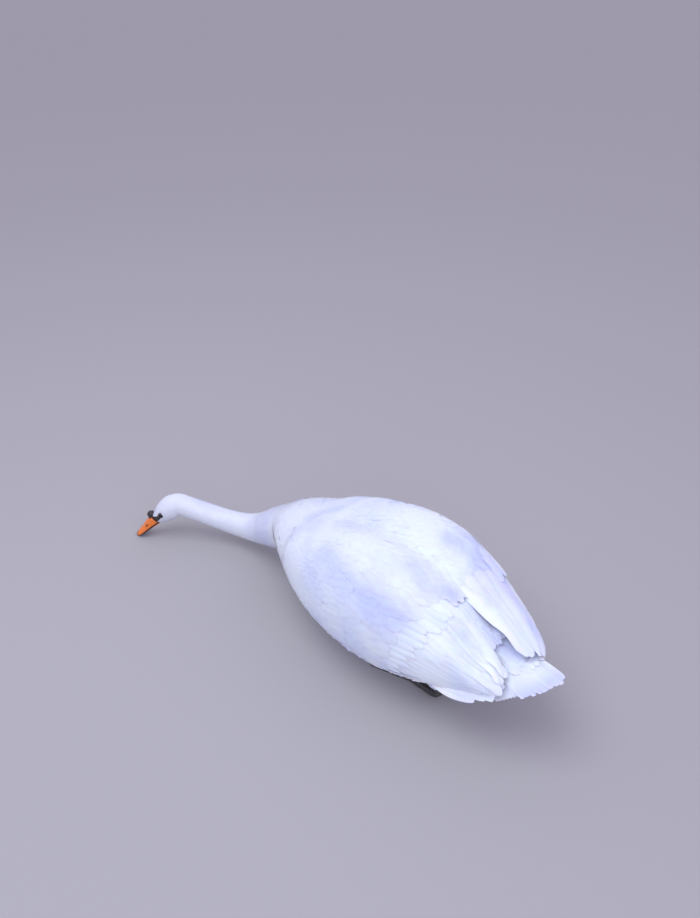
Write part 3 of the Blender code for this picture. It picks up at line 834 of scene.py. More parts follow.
def folded(shell):
    # 1 where the surface bends sharply, as along a wing's lower edge, and 0 where it is even
    even = settled(shell.mesh, shell.normal, np.ones(len(shell.co)), 8)
    return ramp(1 - np.linalg.norm(even, axis=1)[shell.faces].mean(1), 0.03, 0.14)


def finer(spacing, fold, least=4.5 * mm):
    # feathers are small over a fold, so that their sides do not stand off it
    return spacing * (1 - fold) + least * fold


capeLook = {
    "start": 0.25,
    "end": -0.222,
    "halfWidth": 0.10,
    "rearHalfWidth": 0.062,
    "lowest": 0.2,
    "roundFrom": 0.9,  # share of the length from which its end is rounded
    "roundOver": 0.12,
}


def inCape(places):
    # the smooth saddle of feathers over the back and the inner parts of both wings
    look = capeLook
    share = (look["start"] - places[:, 0]) / (look["start"] - look["end"])
    half = look["halfWidth"] + (look["rearHalfWidth"] - look["halfWidth"]) * np.clip(share, 0, 1) ** 2
    past = np.clip((share - look["roundFrom"]) / look["roundOver"], 0, 1)
    half = half * np.sqrt(np.clip(1 - past**2, 0, 1))
    within = (share > 0) & (share < look["roundFrom"] + look["roundOver"])
    return within & (np.abs(places[:, 1]) < half) & (places[:, 2] > look["lowest"])


faceInCape = inCape(envelope.centre)


def flow(roots, towards, weight):
    # the lie of the feathers: back along the spine, drawn towards a place where one is given
    way = -spine.along[spine.nearest(roots)]
    if towards is not None:
        way = unit(way * (1 - weight) + unit(np.asarray(towards) - roots) * weight)
    return way


def jittered(ways, amount):
    return unit(ways + random.standard_normal(ways.shape) * amount)


def plantTract(name, shell, wanted, tract, vane, towards=None, weight=0.6):
    # scatters roots, traces a path for each and lays the vanes
    spacing = np.broadcast_to(tract["spacing"], len(shell.centre))
    roots = shell.scatter(wanted, spacing, tract["seed"])
    near = np.array([shell.tree.find_nearest(Vector(p))[2] for p in roots.tolist()])
    size = spacing[near]
    ways = jittered(flow(roots, towards, weight), tract["jitter"])
    lengths = size * tract["length"] * (1 + 0.08 * random.standard_normal(len(roots)))
    starts = roots - ways * lengths[:, None] * tract.get("back", 0.5)
    path, normals = shell.trace(starts, ways, lengths, vane.steps, tract.get("stray", 6 * mm))
    lay = {"camber": 0.1, "lift": 0.1 * mm, "thick": 0.35 * mm, **tract["lay"]}
    lay["halfWidth"] = size * tract["halfWidth"]
    lay["layer"] = random.uniform(-0.35, 0.35, len(roots)) * tract["unevenness"] * mm
    if "sink" in tract:
        lay["layer"] -= tract["sink"](roots)
    piece = layVanes(name, vane, path, normals, lay)
    print(name, len(roots), "feathers", len(piece.data.polygons) * 2, "triangles")
    return finished(piece, vanePlumage if tract.get("barbs") else softPlumage, "plumage")


# head and neck; a tract's lengths and widths are in spacings
headTract = {
    "seed": 11,
    "spacing": 1.55 * mm,
    "length": 6.5,
    "halfWidth": 0.72,
    "jitter": 0.05,
    "unevenness": 0.06,
    "lay": {"depth": 0.9 * mm, "thick": 0.12 * mm, "lift": 0.05 * mm, "roll": 0.02, "shape": fineShape},
}
neckTract = {
    "seed": 12,
    "length": 6.5,
    "halfWidth": 0.85,
    "jitter": 0.05,
    "unevenness": 0.15,
    "lay": {"depth": 2.2 * mm, "thick": 0.18 * mm, "lift": 0.05 * mm, "roll": 0.02, "shape": fineShape},
}
eyeOpening = {"halfLength": 7.8 * mm, "halfHeight": 6.8 * mm}
loreLook = {"baseHalf": 9.5 * mm, "eyeHalf": 3.2 * mm, "front": 31 * mm, "back": 4.5 * mm,
            "baseHeight": 3.5 * mm, "eyeHeight": -1 * mm, "featheredFrom": 33 * mm, "featheredOver": 27 * mm}


def loreShape(share):
    # half width and middle height of the bare skin, wide at the bill where share is 0 and narrow at the eye
    look = loreLook
    half = look["baseHalf"] + (look["eyeHalf"] - look["baseHalf"]) * share
    return half, look["baseHeight"] * (1 - share) + look["eyeHeight"] * share


def inLores(local):
    share = np.clip((loreLook["featheredFrom"] - local[:, 0]) / loreLook["featheredOver"], 0, 1)
    half, middle = loreShape(share)
    return (local[:, 0] > 5 * mm) & (np.abs(local[:, 2] - middle) < half) & (np.abs(local[:, 1]) > 6 * mm)


def nearEye(local):
    return (local[:, 0] / eyeOpening["halfLength"]) ** 2 + (local[:, 2] / eyeOpening["halfHeight"]) ** 2 < 1


localFaces = inHead(headShell.centre)
headDistance, _ = spine.around(headShell.centre)
bareFace = nearEye(localFaces) | inLores(localFaces) | (localFaces[:, 0] > 29 * mm)
backOfHead = ramp(-localFaces[:, 0], -0.01, 0.07)
tract = {**headTract, "spacing": headTract["spacing"] * (0.9 + 0.55 * backOfHead)}
plantTract("headFeathers", headShell, (headDistance > headStart) & ~bareFace, tract, smallVane)

neckDistance, _ = spine.around(neckShell.centre)
share = ramp(neckDistance, headStart - 0.02, neckStart + 0.02)
tract = {**neckTract, "spacing": (2.15 + 2.3 * share) * mm}
lowerNeck = (neckDistance > neckStart - 0.004) & (neckDistance < headStart + 0.004)
plantTract("neckFeathers", neckShell, lowerNeck, tract, smallVane)

# body
bodyTract = {
    "seed": 13,
    "length": 4.6,
    "halfWidth": 0.98,
    "jitter": 0.05,
    "unevenness": 0.2,
    "lay": {"depth": 3.5 * mm, "thick": 0.25 * mm, "roll": 0.015, "camber": 0.06},
}
fold = folded(envelope)
coatEnd = -0.205  # behind this the rump's and the wings' feathers take over
onBody = ~(onWing & (faceHeight > 0.06)) & (faceDistance < neckStart - 0.004) & ~nearLegs(envelope.centre)
front = onBody & (faceX > 0.12)
share = ramp(faceDistance, neckStart - 0.02, neckStart - 0.16)
tract = {**bodyTract, "spacing": (5.0 + 2.5 * share) * mm}
plantTract("breastFeathers", envelope, front & ~faceInCape, tract, bodyVane)
tract = {**bodyTract, "seed": 14, "spacing": finer((7.5 + 2 * ramp(-faceX, 0, 0.2)) * mm, fold)}
belly = onBody & ~front & ~faceInCape & (faceX > coatEnd)
plantTract("bellyFeathers", envelope, belly, tract, bodyVane)

# rump and the coverts over and under the tail
tailAim = {"towards": (-0.62, 0.02, 0.195), "weight": 0.5}  # a place behind the tail
rumpTract = {
    "seed": 21,
    "length": 6.5,
    "halfWidth": 0.95,
    "back": 0.35,
    # deepest under the wings
    "sink": lambda roots: 3 * mm * ramp(roots[:, 0], -0.355, -0.30) * ramp(roots[:, 2], 0.19, 0.21),
    "jitter": 0.03,
    "unevenness": 0.5,
    "lay": {"depth": 5 * mm, "roll": 0.03},
}
aft = rumpShell.centre[:, 0]
rump = (aft < -0.185) & (aft > -0.362) & ~nearLegs(rumpShell.centre)
tract = {**rumpTract, "spacing": (8 + 3 * ramp(-aft, 0.24, 0.32)) * mm}
plantTract("rumpFeathers", rumpShell, rump, tract, coverVane, **tailAim)

# thighs: small feathers that run down the leg to just above the hock
thighLook = {"reach": 15 * mm, "lowest": 0.046, "swell": 1.2 * mm, "hock": (-0.222, 0.084, 0.022)}
thighTract = {
    "seed": 23,
    "spacing": 4.5 * mm,
    "length": 5.5,
    "halfWidth": 0.95,
    "jitter": 0.06,
    "unevenness": 0.3,
    "lay": {"depth": 2.5 * mm, "thick": 0.2 * mm, "roll": 0.03, "camber": 0.06},
}


def buildThighs():
    mesh = largestPart(remeshed(merged(("trunk",) + legNodes), 3 * mm, 14))
    places, normals = read(mesh.vertices, "co", 3), read(mesh.vertices, "normal", 3)
    moveVertices(mesh, places + normals * thighLook["swell"])
    shell = Shell(mesh)
    wanted = nearLegs(shell.centre, thighLook["reach"]) & (shell.centre[:, 2] > thighLook["lowest"])
    x, y, z = thighLook["hock"]
    for sideName, sign in sides.items():
        own = wanted & (shell.centre[:, 1] * sign > 0)
        tract = {**thighTract, "seed": thighTract["seed"] + sign}
        aim = {"towards": (x, y * sign, z), "weight": 0.8}
        plantTract(sideName + "ThighFeathers", shell, own, tract, bodyVane, **aim)


buildThighs()

# the hollow between the wings and the wings' inner slopes
valleyTract = {**rumpTract, "seed": 27, "length": 5.5, "sink": lambda roots: 2 * mm}
valleyTract["spacing"] = (9 - 3.5 * ramp(-faceX, 0.27, 0.31)) * mm
valley = (faceX < -0.19) & (faceX > -0.312) & (faceZ > 0.19) & (np.abs(faceY) < 0.095) & ~faceInCape
plantTract("valleyFeathers", envelope, valley, valleyTract, coverVane, **tailAim)

# wings: small coverts at the shoulder, growing towards the long feathers behind
covertTract = {
    "seed": 15,
    "length": 4.8,
    "halfWidth": 1.0,
    "jitter": 0.04,
    "unevenness": 0.2,
    "barbs": True,
    "lay": {"depth": 3 * mm, "thick": 0.25 * mm, "roll": 0.01, "camber": 0.07},
}
covertSpacing = finer((6.5 + 13 * ramp(-faceX, -0.24, 0.20)) * mm, fold)
# they end in a wavy line, further back on the right, where the tertials start further back
covertEnd = -0.09 - 0.09 * np.clip(faceHeight, 0, 1) + 0.025 * waves(envelope.centre, 25.0, 5.0)
covertEnd -= 0.035 * ramp(faceHeight, 0.45, 0.7) * (faceY < 0)
coverts = onWing & (faceX > covertEnd) & (faceHeight > 0.05) & ~faceInCape
for sideName, sign in sides.items():
    own = coverts & (faceY * sign > 0)
    tract = {**covertTract, "seed": covertTract["seed"] + sign, "spacing": covertSpacing}
    aim = (-0.6, 0.105 * sign, 0.16)
    plantTract(sideName + "WingCoverts", envelope, own, tract, coverVane, towards=aim, weight=0.75)

share = ramp(-faceX, -0.25, 0.2) * (1 - 0.6 * ramp(-faceX, 0.14, 0.19))
# the mantle's feathers follow the saddle down where it ends, so they may stray far
tract = {**covertTract, "seed": 18, "stray": 25 * mm, "spacing": (6.5 + 7.5 * share) * mm}
plantTract("mantleFeathers", envelope, faceInCape & (faceX > coatEnd), tract, coverVane)


# long feathers of the wings, given by how far back and how high on the wing their roots and tips are
def metFromOutside(x, way):
    # where the envelope is met from outside, along a ray towards the wings' axis
    far = 0.5
    axis = Vector((x, 0, axisHeight))
    hit, _, face, _ = envelope.tree.ray_cast(axis + way.normalized() * far, -way, far)
    if hit is None or (hit - axis).length < 30 * mm:
        return None, None, None
    return hit, envelope.faceNormal[face], (hit - axis).length


def wingSurface(sideName, x, height):
    at, low, high = wingEdges[sideName]
    lowest = np.interp(x, at, low)
    angle = lowest + (np.interp(x, at, high) - lowest) * height
    way = Vector((0, math.cos(angle) * sides[sideName], math.sin(angle)))
    return metFromOutside(x, way)[:2]


wingOpenAt = -0.35  # behind this the long feathers stand clear of the wing
longFeathers = {
    # for the first and the last feather: x and height of root and tip, half width and layer above the wing
    "greaterCoverts": {
        "count": 15,
        "root": ((0.05, 0.10), (-0.05, 0.78)),
        "tip": ((-0.17, 0.02), (-0.25, 0.80)),
        "half": (13 * mm, 19 * mm),
        "layer": (-0.9 * mm, -0.8 * mm),
        "turn": 0.03,
        "uneven": 11 * mm,
        "depth": 5 * mm,
    },
    "secondaries": {
        "count": 13,
        "root": ((-0.02, 0.12), (-0.12, 0.60)),
        "tip": ((-0.31, -0.10), (-0.388, 0.40)),
        "half": (14 * mm, 18 * mm),
        "layer": (-1.5 * mm, -1 * mm),
        "turn": 0.05,
        "uneven": 4 * mm,
        "depth": 5 * mm,
    },
    "tertials": {
        "count": 6,
        "root": ((-0.06, 0.52), (-0.09, 0.90)),
        "tip": ((-0.388, 0.46), (-0.356, 0.86)),
        "half": (20 * mm, 21 * mm),
        "layer": (-0.5 * mm, 0.5 * mm),
        "turn": 0.03,
        "uneven": 4 * mm,
        "depth": 10 * mm,
        "rightHigher": 0.16,  # how much higher the last root lies on the right wing
        "rightBack": 0.055,  # how far back the roots lie on the right wing
    },
}
# places that some tips are drawn to, first and last; the right wing folds over the middle
longTips = {
    ("left", "tertials"): ((-0.387, 0.108, 0.178), (-0.372, 0.086, 0.206)),
    ("right", "secondaries"): (None, (-0.398, -0.032, 0.190)),
    ("right", "tertials"): ((-0.406, -0.022, 0.203), (-0.385, 0.004, 0.214)),
}


def longPaths(sideName, group, tips):
    count, rows = group["count"], flightVane.rows
    share = np.linspace(0, 1, count)
    (rootX, rootHeight), (lastRootX, lastRootHeight) = group["root"]
    (tipX, tipHeight), (lastTipX, lastTipHeight) = group["tip"]
    if sideName == "right":
        lastRootHeight += group.get("rightHigher", 0)
        rootX, lastRootX = (x - group.get("rightBack", 0) for x in (rootX, lastRootX))
    path, normals = np.zeros((count, rows, 3)), np.zeros((count, rows, 3))
    uneven = random.uniform(-1, 1, count) * group["uneven"]
    for i, s in enumerate(share):
        roots = rootX + (lastRootX - rootX) * s, rootHeight + (lastRootHeight - rootHeight) * s
        ends = tipX + (lastTipX - tipX) * s, tipHeight + (lastTipHeight - tipHeight) * s
        for k, part in enumerate(flightVane.steps):
            x, height = (a * (1 - part) + b * part for a, b in zip(roots, ends))
            place, normal = wingSurface(sideName, x, height) if x > wingOpenAt else (None, None)
            if place is None:
                place = 2 * path[i, k - 1] - path[i, k - 2]
                place[0] = x
                normal = normals[i, k - 1]
            path[i, k], normals[i, k] = place, normal
    moves = [np.zeros(3) if tip is None else np.array(tip) - path[k, -1] for tip, k in zip(tips, (0, -1))]
    moves = moves[0] * (1 - share[:, None]) + moves[1] * share[:, None] + uneven[:, None] * (1, 0, 0)
    path += moves[:, None] * flightVane.steps[None, :, None]
    for i, k in np.ndindex(count, rows):
        # moved feathers are laid on the wing again, or on the right may stand off it
        off = Vector(path[i, k]) - Vector((path[i, k, 0], 0, axisHeight))
        hit, normal, reach = metFromOutside(path[i, k, 0], off)
        if hit is None or path[i, k, 0] < wingOpenAt + 5 * mm:
            continue
        if sideName == "left" or reach > off.length:
            path[i, k], normals[i, k] = hit, normal
    for _ in range(2):
        path[:, 1:-1] = path[:, 1:-1] * 0.5 + (path[:, 2:] + path[:, :-2]) * 0.25
        normals[:, 1:-1] = unit(normals[:, 1:-1] * 0.5 + (normals[:, 2:] + normals[:, :-2]) * 0.25)
    return path, normals


def notches(count, first, second):
    # small splits in the vane's sides near the tip: the row, the side and how deep for each feather
    rows = flightVane.rows
    return [(rows - 3, 1, random.uniform(0, first, count)), (rows - 2, -1, random.uniform(0, second, count))]


def evenly(ends, count):
    return ends[0] + (ends[1] - ends[0]) * np.linspace(0, 1, count)


flightLay = {"lift": 0.3 * mm, "thick": 0.8 * mm, "quill": 0.5 * mm, "round": 0.5, "shape": flightShape}


def layLong(sideName, sign, groupName, group):
    path, normals = longPaths(sideName, group, longTips.get((sideName, groupName), (None, None)))
    lay = {
        **flightLay,
        "halfWidth": evenly(group["half"], group["count"]),
        "depth": group["depth"],
        "camber": 0.14,
        "turn": group["turn"] * sign,
        "layer": evenly(group["layer"], group["count"]),
        "rise": 2.0,
        "notches": notches(group["count"], 0.25, 0.3),
    }
    piece = layVanes(sideName + groupName[0].upper() + groupName[1:], flightVane, path, normals, lay)
    return finished(piece, vanePlumage, "flight_feathers")


for sideName, sign in sides.items():
    for groupName, group in longFeathers.items():
        layLong(sideName, sign, groupName, group)

# tail and primaries, in place of their solids
tailLook = {
    "count": 22,
    "halfWidth": 11 * mm,
    "overhang": 7.5 * mm,  # past the solid
    "uneven": 4 * mm,
    "across": (0.21, 0.94),
    "rootIn": 12 * mm,  # how far behind the solid's front end the feathers start
    "spreadAt": 85 * mm,  # where the fan's width is read again
    "shape": {"root": 0.5, "fullest": 0.6, "tip": 0.42},
}


def buildTail():
    points = nodePoints("tail")
    low, high = points.min(0), points.max(0)
    tree = treeOf(("tail",))

    def above(place):
        return tree.ray_cast(Vector((place[0], place[1], 0.5)), Vector((0, 0, -1)))[0]

    # the fan's sides, read near its root and half way out, give each feather its place and direction
    near, far = high[0] - tailLook["rootIn"], high[0] - tailLook["spreadAt"]
    ends = []
    for x in (near, far):
        row = np.array([y for y in np.linspace(low[1], high[1], 400) if above((x, y, 0)) is not None])
        ends.append((row.min(), row.max()))
    share = np.linspace(*tailLook["across"], tailLook["count"])
    path = np.zeros((len(share), flightVane.rows, 3))
    normals = np.zeros_like(path)
    normals[:] = (0, 0, 1)
    for i, part in enumerate(share):
        start = np.array([near, ends[0][0] + (ends[0][1] - ends[0][0]) * part, 0])
        through = np.array([far, ends[1][0] + (ends[1][1] - ends[1][0]) * part, 0])
        way = unit(through - start)
        length = 0.06
        while above(start + way * (length + 1 * mm)) is not None:
            length += 1 * mm
        length += tailLook["overhang"] - tailLook["uneven"] * random.random()
        for k, step in enumerate(flightVane.steps):
            place = start + way * length * step
            hit = above(place)
            if hit is not None:
                place[2] = hit.z
            elif k:
                place[2] = 2 * path[i, k - 1, 2] - path[i, k - 2, 2]
            path[i, k] = place
    path[:, :, 2] -= 1.2 * mm
    for _ in range(3):
        path[:, 1:-1, 2] = path[:, 1:-1, 2] * 0.5 + (path[:, 2:, 2] + path[:, :-2, 2]) * 0.25
    outward = np.abs(share - 0.5) * 2
    lay = {
        **flightLay,
        "halfWidth": tailLook["halfWidth"] * (0.85 + 0.15 * (1 - outward)),
        "depth": 3 * mm,
        "lift": 0.2 * mm,
        "camber": 0.05,
        "shape": tailLook["shape"],
        "layer": -outward * 4 * mm,
        "rise": 2.0,
        "notches": notches(len(share), 0.2, 0.3),
    }
    piece = layVanes("tailFeathers", flightVane, path, normals, lay)
    return finished(piece, vanePlumage, "flight_feathers", "tail")


primaryLook = {
    "count": 7,
    "halfWidth": 10 * mm,
    "short": {"left": 23 * mm, "right": 30 * mm},  # of the solid's end
    "stepBack": 1.8 * mm,  # from each feather to the next
    "sweep": {"left": 0, "right": 10 * mm},  # towards the bird's left
}


def buildPrimaries(sideName, sign):
    # the blade's own length, width and facing come from its spread of points
    points = nodePoints("primaries_" + sideName)
    middle = points.mean(0)
    axes = np.linalg.svd(points - middle, full_matrices=False)[2]
    along = axes[0] * (-1 if axes[0][0] > 0 else 1)
    facing = axes[2] * (-1 if axes[2][2] < 0 else 1)
    across = np.cross(facing, along)
    local = (points - middle) @ np.stack([along, across, facing]).T
    count = primaryLook["count"]
    path = np.zeros((count, flightVane.rows, 3))
    for i, s in enumerate(np.linspace(-1, 1, count)):
        half = local[:, 1].max() - primaryLook["halfWidth"] * 0.8
        reach = local[np.abs(local[:, 1] - s * half) < 8 * mm, 0].max() - primaryLook["short"][sideName]
        reach = min(reach, local[:, 0].max() - primaryLook["stepBack"] * (count - 1 - i))
        for k, step in enumerate(flightVane.steps):
            at = local[:, 0].min() + (reach - local[:, 0].min()) * step
            path[i, k] = middle + along * at + across * s * half * (1 - 0.35 * step**2)
    path[:, :, 1] += primaryLook["sweep"][sideName] * flightVane.steps**2
    normals = np.zeros_like(path)
    normals[:] = facing
    lay = {
        **flightLay,
        "halfWidth": primaryLook["halfWidth"],
        "depth": 9 * mm,
        "lift": 0,
        "camber": 0.1,
        "layer": np.linspace(-1.5, 1.5, count) * mm * sign,
    }
    piece = layVanes(sideName + "Primaries", flightVane, path, normals, lay)
    return finished(piece, vanePlumage, "flight_feathers", "primaries_" + sideName)


tailSideLook = {
    "count": 7,
    "halfWidth": 13 * mm,
    "arch": 4 * mm,
    "roots": ((-0.30, 0.078, 0.150), (-0.30, 0.045, 0.188)),
    "tips": ((-0.388, 0.103, 0.156), (-0.424, 0.080, 0.180)),
}


def buildTailSides():
    # a few soft feathers close the gap between the left edge of the fan and the wing
    look = tailSideLook
    count = look["count"]
    path = np.zeros((count, coverVane.rows, 3))
    normals = np.zeros_like(path)
    for i, s in enumerate(np.linspace(0, 1, count)):
        start = np.array(look["roots"][0]) * (1 - s) + np.array(look["roots"][1]) * s
        end = np.array(look["tips"][0]) * (1 - s) + np.array(look["tips"][1]) * s
        for k, step in enumerate(coverVane.steps):
            path[i, k] = start + (end - start) * step
            path[i, k, 2] += look["arch"] * 4 * step * (1 - step)
        normals[i] = unit(np.array([0, 0.75 - 0.5 * s, 0.8]))
    layer = np.linspace(-2, 0, count) * mm
    lay = {"halfWidth": look["halfWidth"], "depth": 2 * mm, "lift": 0, "camber": 0.12, "thick": 0.5 * mm,
           "layer": layer, "turn": 0.03}
    return finished(layVanes("tailSideFeathers", coverVane, path, normals, lay), vanePlumage, "plumage")


buildTailSides()
buildTail()
for sideName, sign in sides.items():
    buildPrimaries(sideName, sign)
print("long feathers laid")


# bare parts
def grainedMaterial(name, roughness, tones, scale, strength, depth, mark=None, markColour=None, scutes=None):
    # two tones mixed by a fine grain, with a third where the piece's own attribute marks it;
    # "scutes" gives the scale of the small plates on legs
    first, second = tones
    made, tree, shader = nodeMaterial(name, first, roughness)
    where = addNode(tree, "ShaderNodeTexCoord").outputs["Object"]
    grain = noiseNode(tree, where, scale, 4.0)
    colour = mixColours(tree, grain, first, second)
    if scutes:
        cells = addNode(tree, "ShaderNodeTexVoronoi", feature="DISTANCE_TO_EDGE", Scale=scutes)
        tree.links.new(where, cells.inputs["Vector"])
        seams = addNode(tree, "ShaderNodeMapRange", interpolation_type="SMOOTHSTEP", **{"From Max": 0.16})
        tree.links.new(cells.outputs["Distance"], seams.inputs["Value"])
        colour = mixColours(tree, seams.outputs["Result"], tuple(0.45 * c for c in first), colour)
        grain = mathNode(tree, "ADD", mathNode(tree, "MULTIPLY", grain, 0.35), seams.outputs["Result"])
    if mark:
        share = addNode(tree, "ShaderNodeAttribute", attribute_name=mark).outputs["Fac"]
        colour = mixColours(tree, share, colour, markColour)
    tree.links.new(colour, shader.inputs["Base Color"])
    bumpNode(tree, shader, grain, strength, depth)
    return made


def writeShare(mesh, name, values):
    made = mesh.attributes.new(name, "FLOAT", "POINT")
    made.data.foreach_set("value", values.astype(np.float32))


bareTones = {
    "eye": ((0.040, 0.018, 0.009), (0.018, 0.008, 0.005)),
    "pupil": (0.003, 0.003, 0.003),
    "black": ((0.016, 0.016, 0.018), (0.045, 0.043, 0.045)),
    "orange": ((0.85, 0.235, 0.035), (0.68, 0.15, 0.025)),
    "billDark": (0.016, 0.015, 0.016),
    "leg": ((0.030, 0.030, 0.032), (0.085, 0.082, 0.078)),
    "claw": ((0.020, 0.018, 0.017), (0.06, 0.055, 0.05)),
}
eyeMaterial = grainedMaterial(
    "eyeHazel", 0.06, bareTones["eye"], 900.0, 0.02, 0.05 * mm, "pupil", bareTones["pupil"]
)
blackSkin = grainedMaterial("bareBlackSkin", 0.48, bareTones["black"], 900.0, 0.6, 0.35 * mm)
billHorn = grainedMaterial(
    "billHorn", 0.36, bareTones["orange"], 260.0, 0.25, 0.25 * mm, "dark", bareTones["billDark"]
)
legSkin = grainedMaterial("legSkin", 0.5, bareTones["leg"], 420.0, 0.5, 0.5 * mm, scutes=260.0)
clawHorn = grainedMaterial("clawHorn", 0.35, bareTones["claw"], 600.0, 0.3, 0.2 * mm)

eyeLook = {"pupil": 0.52, "lidHalfLength": 5.5 * mm, "lidHalfHeight": 4.7 * mm, "lidThick": 0.9 * mm,
           "skirt": 2.8 * mm, "skirtDrop": 1.3 * mm}


def buildEye(sideName, sign):
    look = eyeLook
    outward = unit(headSide * sign + headAhead * 0.12 + headUp * 0.06)
    bm = bmesh.new()
    bmesh.ops.create_uvsphere(bm, u_segments=40, v_segments=24, radius=eyeRadius)
    turn = Vector(outward).to_track_quat("Z", "Y").to_matrix()
    off = [math.hypot(v.co.x, v.co.y) / eyeRadius if v.co.z > 0 else 1 for v in bm.verts]
    place = Matrix.Translation(Vector(eyeAt[sideName]))
    bmesh.ops.transform(bm, matrix=place @ turn.to_4x4(), verts=bm.verts)
    eye = newObject(sideName + "Eye", meshOf(bm, sideName + "Eye"))
    writeShare(eye.data, "pupil", 1 - ramp(np.array(off), look["pupil"], look["pupil"] + 0.1))
    finished(eye, eyeMaterial, "eye", "eye_" + sideName)
    buildLids(sideName, outward)


def buildLids(sideName, outward):
    # one soft ring of bare skin that hugs the ball, longer than it is high
    look = eyeLook
    bm = bmesh.new()
    upright = Matrix.Rotation(math.pi / 2, 4, "X")
    made = bmesh.ops.create_circle(bm, segments=12, radius=look["lidThick"], matrix=upright)
    bmesh.ops.translate(bm, vec=(look["lidHalfLength"], 0, 0), verts=made["verts"])
    hoop = bm.verts[:] + bm.edges[:]
    whole = 2 * math.pi
    bmesh.ops.spin(bm, geom=hoop, axis=(0, 0, 1), cent=(0, 0, 0), steps=48, angle=whole, use_merge=True)
    bmesh.ops.remove_doubles(bm, verts=bm.verts, dist=0.01 * mm)
    for vert in bm.verts:
        reach = math.hypot(vert.co.x, vert.co.y)
        middle = look["lidHalfLength"]
        outer = max(reach - middle, 0) / look["lidThick"]
        reach += outer * look["skirt"]
        vert.co.z -= outer**2 * look["skirtDrop"]
        around = math.atan2(vert.co.y, vert.co.x)
        flat = look["lidHalfHeight"] / look["lidHalfLength"]
        pinch = 1 + 0.10 * abs(math.cos(around)) ** 6  # the corners draw out a little
        vert.co.x = math.cos(around) * reach * pinch
        vert.co.y = math.sin(around) * reach * flat
        spread = middle * math.hypot(math.cos(around) * pinch, math.sin(around) * flat)
        spread = min(spread, eyeRadius * 0.97)
        vert.co.z += math.sqrt(eyeRadius**2 - spread**2) - 0.15 * mm
    # x runs forward along the head and y up
    forward = unit(headAhead - outward * (headAhead @ outward))
    upward = np.cross(outward, forward)
    if upward @ headUp < 0:
        upward = -upward
    turn = Matrix((forward, upward, outward)).transposed()
    place = Matrix.Translation(Vector(eyeAt[sideName]))
    bmesh.ops.transform(bm, matrix=place @ turn.to_4x4(), verts=bm.verts)
    bmesh.ops.recalc_face_normals(bm, faces=bm.faces)
    finished(newObject(sideName + "Lids", meshOf(bm, sideName + "Lids")), blackSkin, "bill_black")


def buildLores(sideName, sign):
    # bare skin laid over the face from the bill to the eye
    bm = bmesh.new()
    bmesh.ops.create_grid(bm, x_segments=26, y_segments=12, size=1)
    tree, outward = headShell.tree, Vector(headSide * sign)
    for vert in bm.verts:
        share = (1 - vert.co.x) / 2
        half, middle = loreShape(share)
        height = middle + vert.co.y * (half + 0.8 * mm)  # its edge runs under the feathers
        along = loreLook["front"] + (loreLook["back"] - loreLook["front"]) * share
        start = Vector(fromHead((along, 60 * mm * sign, height)))
        hit, normal, _, _ = tree.ray_cast(start, -outward, 58 * mm)
        if hit is None or normal.dot(outward) < 0.15:
            hit, normal, _, _ = tree.find_nearest(Vector(fromHead((along, 14 * mm * sign, height))))
        vert.co = hit + normal * 0.2 * mm
    everyWay = {"use_axis_x": True, "use_axis_y": True, "use_axis_z": True}
    for _ in range(3):
        bmesh.ops.smooth_vert(bm, verts=bm.verts, factor=0.5, **everyWay)
    made = bmesh.ops.extrude_face_region(bm, geom=bm.faces[:], use_keep_orig=True)["geom"]
    inner = [g for g in made if isinstance(g, bmesh.types.BMVert)]
    bmesh.ops.translate(bm, vec=-outward * 1.4 * mm, verts=inner)
    bmesh.ops.recalc_face_normals(bm, faces=bm.faces)
    finished(newObject(sideName + "Lores", meshOf(bm, sideName + "Lores")), blackSkin, "bill_black")


for sideName, sign in sides.items():
    buildEye(sideName, sign)
    buildLores(sideName, sign)

billLook = {
    "voxel": 0.65 * mm,
    "edge": 2.4 * mm,  # height of the black edge
    "nailLength": 0.13,
    "nailHalfWidth": 7 * mm,
    "nailRise": 0.6 * mm,
    "nostrilAt": 0.40,
    "nostrilHeight": 0.66,
    "nostrilHalf": (7 * mm, 1.5 * mm),
    "nostrilDepth": 1.6 * mm,
    "grooveDepth": 0.35 * mm,
    "ridgeDepth": 0.12 * mm,  # of the comb along the edge
    "ridgeSpacing": 0.85 * mm,
    "knobFootAt": 31 * mm,  # from the eyes forward
    "knobFootHalf": (15 * mm, 10.5 * mm),
}


def rimOf(local, low=True):
    # the lower or upper rim's height along the bill
    edges = np.linspace(local[:, 0].min(), local[:, 0].max(), 40)
    at, rim = [], []
    for a, b in zip(edges[:-1], edges[1:]):
        inside = (local[:, 0] >= a) & (local[:, 0] <= b)
        if inside.any():
            at.append((a + b) / 2)
            rim.append(local[inside, 2].min() if low else local[inside, 2].max())
    return np.interp(local[:, 0], at, rim)


